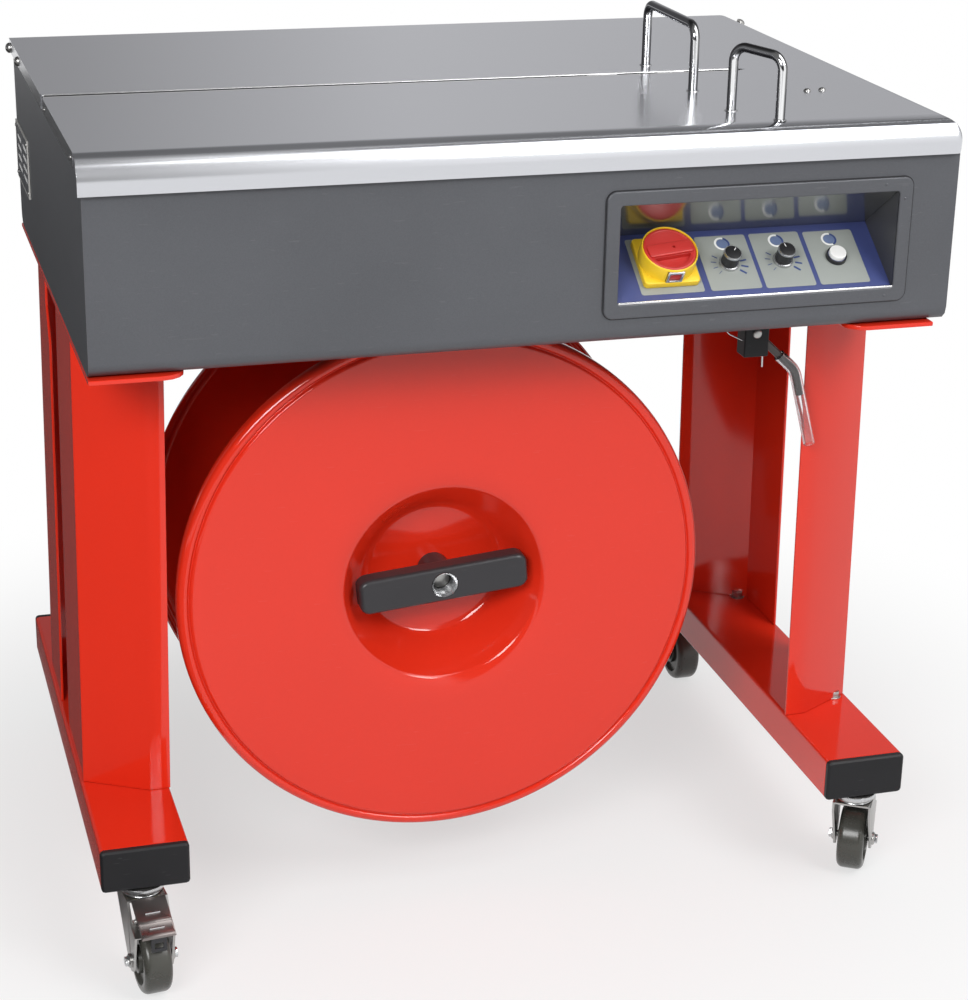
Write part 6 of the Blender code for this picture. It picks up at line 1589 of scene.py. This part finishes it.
@dataclass
class Caster(SubAssembly):
    """One swivel caster: fork, bearing ring, wheel, nut and brake pedal."""

    corner: str = "fl"
    spot: Point = (-0.41075, -0.290)
    heading: float = 174.0
    braked: bool = False
    trail: float = 0.029
    radius: float = 0.0375

    def build(self) -> None:
        """Make the caster at its corner and heading."""
        self.fork()
        self.wheel()
        if self.braked:
            self.pedal()

    @property
    def place(self) -> Matrix:
        """Return the matrix from the caster's own space, trail along +Y."""
        return Matrix.Translation((self.spot[0], self.spot[1], 0)) @ Matrix.Rotation(
            -math.radians(self.heading), 4, "Z")

    def fork(self) -> None:
        """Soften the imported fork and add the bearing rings, grease line and nuts."""
        body = "fork_" + self.corner
        piece = Bench.copy_of("caster_fork_" + self.corner, "fork_" + self.corner + "_dressed")
        Bench.bevel(piece, 0.00035, 2, 50.0)
        self.dress(piece, Finishes.ZINC, body, "zinc", ("caster_fork_" + self.corner,), 38.0)
        bright = Bench.turned(body + "_race", [
            (0.0180, 0.1120), (0.0232, 0.1120), (0.0236, 0.1106), (0.0235, 0.1088),
            (0.0228, 0.1072), (0.0214, 0.1060), (0.0180, 0.1056)], steps=56)
        lower = Bench.turned("lower_race", [
            (0.0150, 0.1050), (0.0196, 0.1050), (0.0205, 0.1044), (0.0208, 0.1037),
            (0.0150, 0.1033)], steps=56)
        self.dress(Bench.join(body + "_rings", [bright, lower]), Finishes.STEEL, body, "zinc",
                   (), 40.0, place=self.place)
        grease = Bench.turned(body + "_grease", [
            (0.0170, 0.1048), (0.0198, 0.1049), (0.0203, 0.1054), (0.0200, 0.1060),
            (0.0170, 0.1060)], steps=48)
        self.dress(grease, Finishes.GREASE, body, "yellow", (), 60.0, place=self.place)
        half = 0.0215
        nut = Fasteners.hex_head("axle_nut", 0.0095, 0.0038)
        places = [self.place @ Fasteners.facing((side * (half + 0.0026), self.trail, self.radius),
                                                (side, 0, 0), turn)
                  for side, turn in ((1, 0.3), (-1, 0.1))]
        self.dress(Bench.spread(body + "_nuts", nut, places), Finishes.STEEL, body, "zinc")

    def wheel(self) -> None:
        """Make the wheel with a round tread, a sunk web and a hub."""
        body = "wheel_" + self.corner
        centre = (0, self.trail, self.radius)
        edge = [(self.radius - 0.007 + 0.007 * math.sin(turn),
                 0.008 + 0.007 * math.cos(turn))
                for turn in (math.pi / 2 * step / 8 for step in range(9))]
        side = [(0.0045, 0.0167), (0.0125, 0.0167), (0.0142, 0.0160), (0.0150, 0.0115),
                (0.0255, 0.0110), (0.0268, 0.0138), (0.0275, 0.0149), (0.0290, 0.0150)] + edge
        profile = side + [(self.radius, 0.0)] + [(radius, -along)
                                                 for radius, along in reversed(side)]
        tyre = Bench.turned(body + "_tyre", profile, centre, Axis.X, 96)
        self.dress(tyre, Finishes.TREAD, body, "tread", ("caster_wheel_" + self.corner,), 40.0,
                   place=self.place)

    def pedal(self) -> None:
        """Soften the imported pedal; add bright ribs and the slotted lug below it."""
        body = "pedal_" + self.corner
        self.redress("brake_" + body, Finishes.DULL_ZINC, "zinc", 0.0005, 2, 50.0, False)
        slope = Vector((0, 0.042, -0.022)).normalized()
        normal = Vector((0, -slope.z, slope.y))
        start = Vector((0, 0.026, 0.106))
        spots = [start + slope * along + normal * 0.0004 for along in (0.0186, 0.0370)]
        ribs = [Bench.tube("rib", [spot - RIGHT * 0.0078, spot + RIGHT * 0.0078], 0.0013, 14)
                for spot in spots]
        self.dress(Bench.join(body + "_ribs", ribs), Finishes.STEEL, body, "zinc",
                   place=self.place)
        lug = Bench.block("lug", (-0.0085, 0.0650, 0.0655), (0.0085, 0.0672, 0.0815))
        hole = Bench.block("hole", (-0.0045, 0.06, 0.0695), (0.0045, 0.07, 0.0760))
        Bench.combine(lug, hole)
        Bench.bevel(lug, 0.0005, 2)
        lug.name = body + "_lug"
        self.dress(lug, Finishes.GLOSS_BLACK, body, "zinc", place=self.place)


@dataclass
class Drive(SubAssembly):
    """What the lid covers: motor, gearbox, belt, sealing head, rollers, electrics."""

    def build(self) -> None:
        """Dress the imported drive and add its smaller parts."""
        self.motor()
        self.gearbox()
        self.pulleys()
        self.head()
        self.rollers()
        self.electrics()
        self.hinge()

    def motor(self) -> None:
        """Soften the motor and add fins, a fan grille and a terminal box."""
        self.redress("motor", Finishes.GREY_PAINT, "grey_paint", 0.0012, 3)
        low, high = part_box("motor")
        middle = (low + high) / 2
        centre_z = high.z - 0.0525
        fins = []
        for index in range(28):
            turn = 2 * math.pi * index / 28
            if math.sin(turn) < -0.55:
                continue
            fin = Bench.block("fin", (0.0515, low.y + 0.020, -0.0009),
                              (0.0565, high.y - 0.026, 0.0009))
            fin.data.transform(Matrix.Translation((middle.x, 0, centre_z))
                               @ Matrix.Rotation(-turn, 4, "Y"))
            fins.append(fin)
        self.dress(Bench.join("motor_fins", fins), Finishes.GREY_PAINT, "root", "grey_paint")
        box = Bench.block("terminal_box", (middle.x - 0.085, middle.y - 0.024, centre_z - 0.015),
                          (middle.x - 0.048, middle.y + 0.024, centre_z + 0.022))
        Bench.bevel(box, 0.003, 3)
        self.dress(box, Finishes.BLACK, "root", "black_plastic")
        slots = []
        for index in range(5):
            inner, outer = 0.010 + index * 0.007, 0.013 + index * 0.007
            slots.append(Bench.turned("grille", [(inner, 0.0), (outer, 0.0), (outer, -0.0012),
                                                 (inner, -0.0012)],
                                      (middle.x, low.y, centre_z), Axis.Y, 40))
        self.dress(Bench.join("fan_grille", slots), Finishes.BLACK, "root", "black_plastic")

    def gearbox(self) -> None:
        """Soften the gearbox and add its cover plate, screws and filler plug."""
        self.redress("gearbox", Finishes.GREY_PAINT, "grey_paint", 0.0015, 3)
        low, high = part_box("gearbox")
        self.cover("gear_cover", (low, high), 0.012, (0.008, 6), 0.003)
        places = [((x, y, high.z + 0.003), (0, 0, 1), x * 50)
                  for x in (low.x + 0.019, high.x - 0.019) for y in (low.y + 0.019, high.y - 0.019)]
        places.append((((low.x + high.x) / 2, (low.y + high.y) / 2, high.z + 0.003),
                       (0, 0, 1), 0.4))
        self.fasten("cover_bolts", Fasteners.hex_head("cover_bolt", 0.008, 0.0034, 0.0008), places)

    def cover(self, name: str, box: Sequence[Vector], inset: float, corner: tuple[float, int],
              rise: float) -> None:
        """Lay a grey cover plate on a box.

        Args:
            name: The plate's name.
            box: The low and the high corner of what it covers.
            inset: How far its edge stands in.
            corner: Radius and steps of its corners.
            rise: Its height.
        """
        low, high = box
        outline = rounded(low.x + inset, low.y + inset, high.x - inset, high.y - inset, *corner)
        plate = Bench.bevel(Bench.slab(name, outline, high.z, rise), 0.0008, 2, 50.0)
        self.dress(plate, Finishes.GREY_PAINT, "root", "grey_paint")

    def pulleys(self) -> None:
        """Make the two grooved pulleys, the belt and the cams."""
        for node, body, size, holes in (("motor_pulley", "motor_drive", 0.040, 0),
                                        ("gear_pulley", "gear_drive", 0.080, 5)):
            low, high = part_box(node)
            centre = (low + high) / 2
            face, back = high.y, high.y - 0.012
            radius = size / 2
            wheel = Bench.turned(node + "_turned", [
                (0.0, low.y), (0.006, low.y), (0.006, back), (radius, back),
                (radius, back + 0.0008), (radius, face - 0.0008), (radius, face),
                (radius - 0.004, face), (radius - 0.005, face - 0.003), (0.012, face - 0.003),
                (0.012, face), (0.0, face)], (centre.x, 0, centre.z), Axis.Y, 64, closed=False)
            for index in range(holes):
                turn = 2 * math.pi * index / holes
                hole = Bench.drum("hole", (centre.x + 0.023 * math.cos(turn), back - 0.01,
                                           centre.z + 0.023 * math.sin(turn)),
                                  BACK, 0.0065, 0.04, 24)
                Bench.combine(wheel, hole)
            Bench.bevel(wheel, 0.0003, 1, 50.0)
            self.dress(wheel, Finishes.STEEL, body, "steel", (node,), 40.0)
            key = Bench.drum(node + "_key", (centre.x + 0.008, face - 0.0005, centre.z),
                             BACK, 0.0016, 0.0006, 16)
            self.dress(key, Finishes.BLACK, body, "black_plastic")
        self.redress("drive_belt", Finishes.RUBBER, "belt", 0.0004, 1, 60.0)
        self.redress("cam_shaft", Finishes.STEEL, "steel", 0.0005, 2, 50.0)

    def head(self) -> None:
        """Soften the sealing head and add its bolts."""
        self.redress("sealing_head", Finishes.STEEL, "steel", 0.0005, 2)
        low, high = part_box("sealing_head")
        self.fasten("head_bolts", Fasteners.hex_head("head_bolt", 0.010, 0.0052),
                    [((x, low.y, z), (0, -1, 0), x * 20) for x in (low.x + 0.018, high.x - 0.018)
                     for z in (low.z + 0.02, low.z + 0.095)])

    def rollers(self) -> None:
        """Soften the roller plate and make both rollers with their end faces."""
        self.redress("roller_plate", Finishes.STEEL, "steel", 0.0005, 2)
        for node, body in (("feed_roller", "feed"), ("pinch_roller", "pinch")):
            self.redress(node, Finishes.RUBBER, "belt", 0.0006, 2, 50.0, False)
            low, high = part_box(node)
            centre = (low + high) / 2
            radius = (high.x - low.x) / 2
            face = Bench.turned(node + "_hub", [(0.0, -0.0012), (radius * 0.55, -0.0012),
                                                (radius * 0.6, -0.0004), (radius * 0.6, 0.0),
                                                (0.0, 0.0)],
                                (centre.x, low.y, centre.z), Axis.Y, 40, closed=False)
            self.dress(face, Finishes.STEEL, body, "steel", (), 40.0)
            self.fasten(node + "_bolt", Fasteners.hex_head(node + "_bolt", 0.008, 0.0026),
                        [((centre.x, low.y - 0.0012, centre.z), (0, -1, 0), 0.3)], body)

    def electrics(self) -> None:
        """Dress the transformer and the control box and add terminals and a lid."""
        core = Bench.copy_of("transformer", "transformer_dressed")
        Bench.bevel(core, 0.0006, 1, 50.0)
        core.data.materials.append(Finishes.IRON.material())
        core.data.materials.append(Finishes.COPPER.material())
        low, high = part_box("transformer")
        for face in core.data.polygons:
            if face.center.y < low.y + 0.0135 or face.center.y > high.y - 0.0135:
                face.material_index = 1
        self.dress(core, Finishes.IRON, "root", "core_iron", ("transformer",), 40.0)
        strip = Bench.block("terminal_strip", (low.x + 0.012, low.y + 0.022, high.z),
                            (high.x - 0.012, high.y - 0.022, high.z + 0.007))
        Bench.bevel(strip, 0.0010, 2)
        self.dress(strip, Finishes.BLACK, "root", "black_plastic")
        self.redress("control_box", Finishes.GREY_PAINT, "grey_paint", 0.0012, 3)
        low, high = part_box("control_box")
        self.cover("box_lid", (low, high), 0.002, (0.004, 5), 0.0025)
        self.fasten("lid_screws", Fasteners.dome("lid_screw", 0.0035, 0.0018),
                    [((x, y, high.z + 0.0025), (0, 0, 1), x * 13)
                     for x in (low.x + 0.010, high.x - 0.010)
                     for y in (low.y + 0.010, high.y - 0.010)])

    def hinge(self) -> None:
        """Make the hinge rod with smooth domes."""
        low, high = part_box("hinge_rod")
        middle = (low + high) / 2
        arc = [math.radians(turn) for turn in range(0, 91, 15)]
        left = [(0.006 * math.sin(turn), low.x + 0.005 * (1 - math.cos(turn))) for turn in arc]
        right = [(0.006 * math.sin(turn), high.x - 0.0081 * (1 - math.cos(turn)))
                 for turn in reversed(arc)]
        profile = left + [(0.003, low.x + 0.005), (0.003, high.x - 0.0081)] + right
        rod = Bench.turned("hinge_pin", profile, (0, middle.y, middle.z), Axis.X, 32,
                           closed=False)
        self.dress(rod, Finishes.ZINC, "root", "zinc", ("hinge_rod",), 40.0)


@dataclass
class Studio:
    """Camera, lamps, floor and background."""

    focal: float = 84.55
    sensor: float = 36.0
    azimuth: float = 0.2891
    elevation: float = 0.3703
    roll: float = 0.0193
    distance: float = 2.7214
    target: tuple[float, float, float] = (0.0389, 0.0, 0.3861)
    lamps: Sequence[tuple] = (
        ("key_softbox", (-1.9, -2.9, 2.3), (0.0, 0.0, 0.40), (1.8, 1.1), 96.0),
        ("fill_softbox", (1.45, -2.3, 2.4), (0.0, 0.0, 0.40), (1.2, 0.9), 36.0),
        ("top_softbox", (1.3, -1.35, 3.1), (1.25, -1.30, 0.0), (2.0, 2.0), 38.0))

    def build(self) -> None:
        """Set up the studio."""
        scene = bpy.context.scene
        scene.view_settings.view_transform = "Standard"
        self.camera()
        self.world()
        self.floor()
        for lamp in self.lamps:
            self.lamp(*lamp)
        self.flag("left_flag", (-2.47, 1.2, 0.004), (4.0, 7.0), 0.10)

    def camera(self) -> None:
        """Place the camera at the photograph's angle."""
        ahead = Vector((math.sin(self.azimuth) * math.cos(self.elevation),
                        math.cos(self.azimuth) * math.cos(self.elevation),
                        -math.sin(self.elevation)))
        right = Vector((math.cos(self.azimuth), -math.sin(self.azimuth), 0))
        up = right.cross(ahead)
        turn, lean = math.cos(self.roll), math.sin(self.roll)
        rolled_right = right * turn + up * lean
        rolled_up = up * turn - right * lean
        matrix = Matrix((rolled_right, rolled_up, -ahead)).transposed().to_4x4()
        matrix.translation = Vector(self.target) - ahead * self.distance
        data = bpy.data.cameras.new("camera")
        data.lens = self.focal
        data.sensor_width = self.sensor
        data.clip_start, data.clip_end = 0.05, 60.0
        camera = bpy.data.objects.new("camera", data)
        camera.matrix_world = matrix
        bpy.context.scene.collection.objects.link(camera)
        bpy.context.scene.camera = camera

    def world(self) -> None:
        """Light from all round, with white for the camera and a band for gloss."""
        world = bpy.data.worlds.new("studio")
        bpy.context.scene.world = world
        world.use_nodes = True
        board = Wiring(world.node_tree)
        board.nodes.clear()
        split = board.node("SeparateXYZ", {0: board.place("Generated")}).outputs
        band = board.ramp(split["Z"], (0.0, 0.66, 0.66, 0.68), *(
            (position, level, level, level * 1.02) for position, level in
            ((0.38, 0.66), (0.54, 0.28), (0.76, 0.26), (0.95, 0.26))), (1.0, 1.0))
        shift = board.take("MapRange", {"Value": split["X"], "From Min": -1.0})
        sides = board.ramp(shift, (0.0, 0.32, 0.32, 0.33), (0.42, 0.32), (0.555, 0.54),
                           (0.62, 0.90), (0.70, 0.76), (1.0, 0.70))
        glare = board.ramp(shift, (0.56, 0.42, 0.42, 0.41), (0.60, 1.4))
        ahead = board.take("MapRange", {"Value": split["Y"], "From Min": 0.12,
                                        "From Max": -0.06})
        front = board.mix(ahead, band, glare)
        gloss = board.take("Background", {"Color": board.mix(1.0, front, sides, "MULTIPLY")})
        paths = board.node("LightPath", {}).outputs
        first = board.take("MixShader", {"Fac": paths["Is Glossy Ray"], 2: gloss,
                                         1: board.take("Background", {"Strength": 0.30})})
        seen = board.calc("MAXIMUM", paths["Is Camera Ray"], paths["Is Transmission Ray"])
        second = board.take("MixShader", {"Fac": seen, 1: first,
                                          2: board.take("Background", {"Strength": 1.0})})
        board.node("OutputWorld", {"Surface": second})

    def floor(self) -> None:
        """Lay a pale floor that fades to white away from the machine."""
        Bench.clear()
        bpy.ops.mesh.primitive_circle_add(vertices=96, radius=14.0, fill_type="NGON",
                                          location=(0, 0, 0))
        floor = Bench.named("floor")
        material, board, shader = open_material("pale_floor")
        board.feed(shader, {"Base Color": (0.72, 0.72, 0.72, 1), "Roughness": 0.7})
        away = board.take("VectorMath", {0: board.place("Object")}, "Value", operation="LENGTH")
        fade = board.take("MapRange", {"Value": away, "From Min": 0.35, "From Max": 1.10,
                                       "To Min": 0.60}, interpolation_type="SMOOTHSTEP")
        paths = board.node("LightPath", {}).outputs
        seen = board.calc("MAXIMUM", paths["Is Camera Ray"], paths["Is Glossy Ray"])
        mix = board.take("MixShader", {"Fac": board.calc("MULTIPLY", fade, seen),
                                       1: shader.outputs[0], 2: board.take("Emission", {})})
        board.feed(board.nodes["Material Output"], {"Surface": mix})
        floor.data.materials.append(material)

    def flag(self, name: str, place: Sequence[float], size: tuple[float, float],
             level: float) -> None:
        """Lay a dark card on the floor that only shows in the machine's gloss.

        Args:
            name: The card's name.
            place: Its middle.
            size: Its width and depth.
            level: How dark it is.
        """
        Bench.clear()
        bpy.ops.mesh.primitive_plane_add(size=1, location=place)
        card = Bench.named(name)
        card.scale = (*size, 1.0)
        Bench.settle(card)
        material, board, shader = open_material(name)
        board.feed(shader, {"Base Color": (level, level, level, 1), "Roughness": 0.9})
        card.data.materials.append(material)
        card.visible_camera = card.visible_diffuse = card.visible_shadow = False
        card.visible_transmission = card.visible_volume_scatter = False

    def lamp(self, name: str, place: Sequence[float], target: Sequence[float],
             size: tuple[float, float], power: float) -> None:
        """Hang one softbox.

        Args:
            name: The lamp's name.
            place: Where it hangs.
            target: What it looks at.
            size: Its width and height.
            power: Its power in watts.
        """
        data = bpy.data.lights.new(name, "AREA")
        data.shape = "RECTANGLE"
        data.size, data.size_y = size
        data.energy = power
        lamp = bpy.data.objects.new(name, data)
        lamp.location = place
        lamp.rotation_euler = (Vector(target) - Vector(place)).to_track_quat("-Z", "Y").to_euler()
        bpy.context.scene.collection.objects.link(lamp)


def main() -> None:
    """Build every sub-assembly in order, then the studio, and log how many pieces each has."""
    logging.basicConfig(level=logging.INFO, format="%(name)s: %(message)s")
    assemblies: list[SubAssembly] = [
        LegFrame(), Housing(), TableLid(), ControlRecess(), StrapReel(), BrakeLever()]
    for corner, spot, heading, braked in (("fl", (-0.41075, -0.290), 174.0, True),
                                          ("fr", (0.39675, -0.290), 32.0, False),
                                          ("rl", (-0.41075, 0.290), 6.0, True),
                                          ("rr", (0.39675, 0.290), 180.0, False)):
        assemblies.append(Caster(corner=corner, spot=spot, heading=heading, braked=braked))
    assemblies.append(Drive())
    for assembly in assemblies:
        assembly.build()
        LOG.info("%s: %d pieces", type(assembly).__name__, len(assembly.pieces))
    Studio().build()


if __name__ == "__main__":
    main()
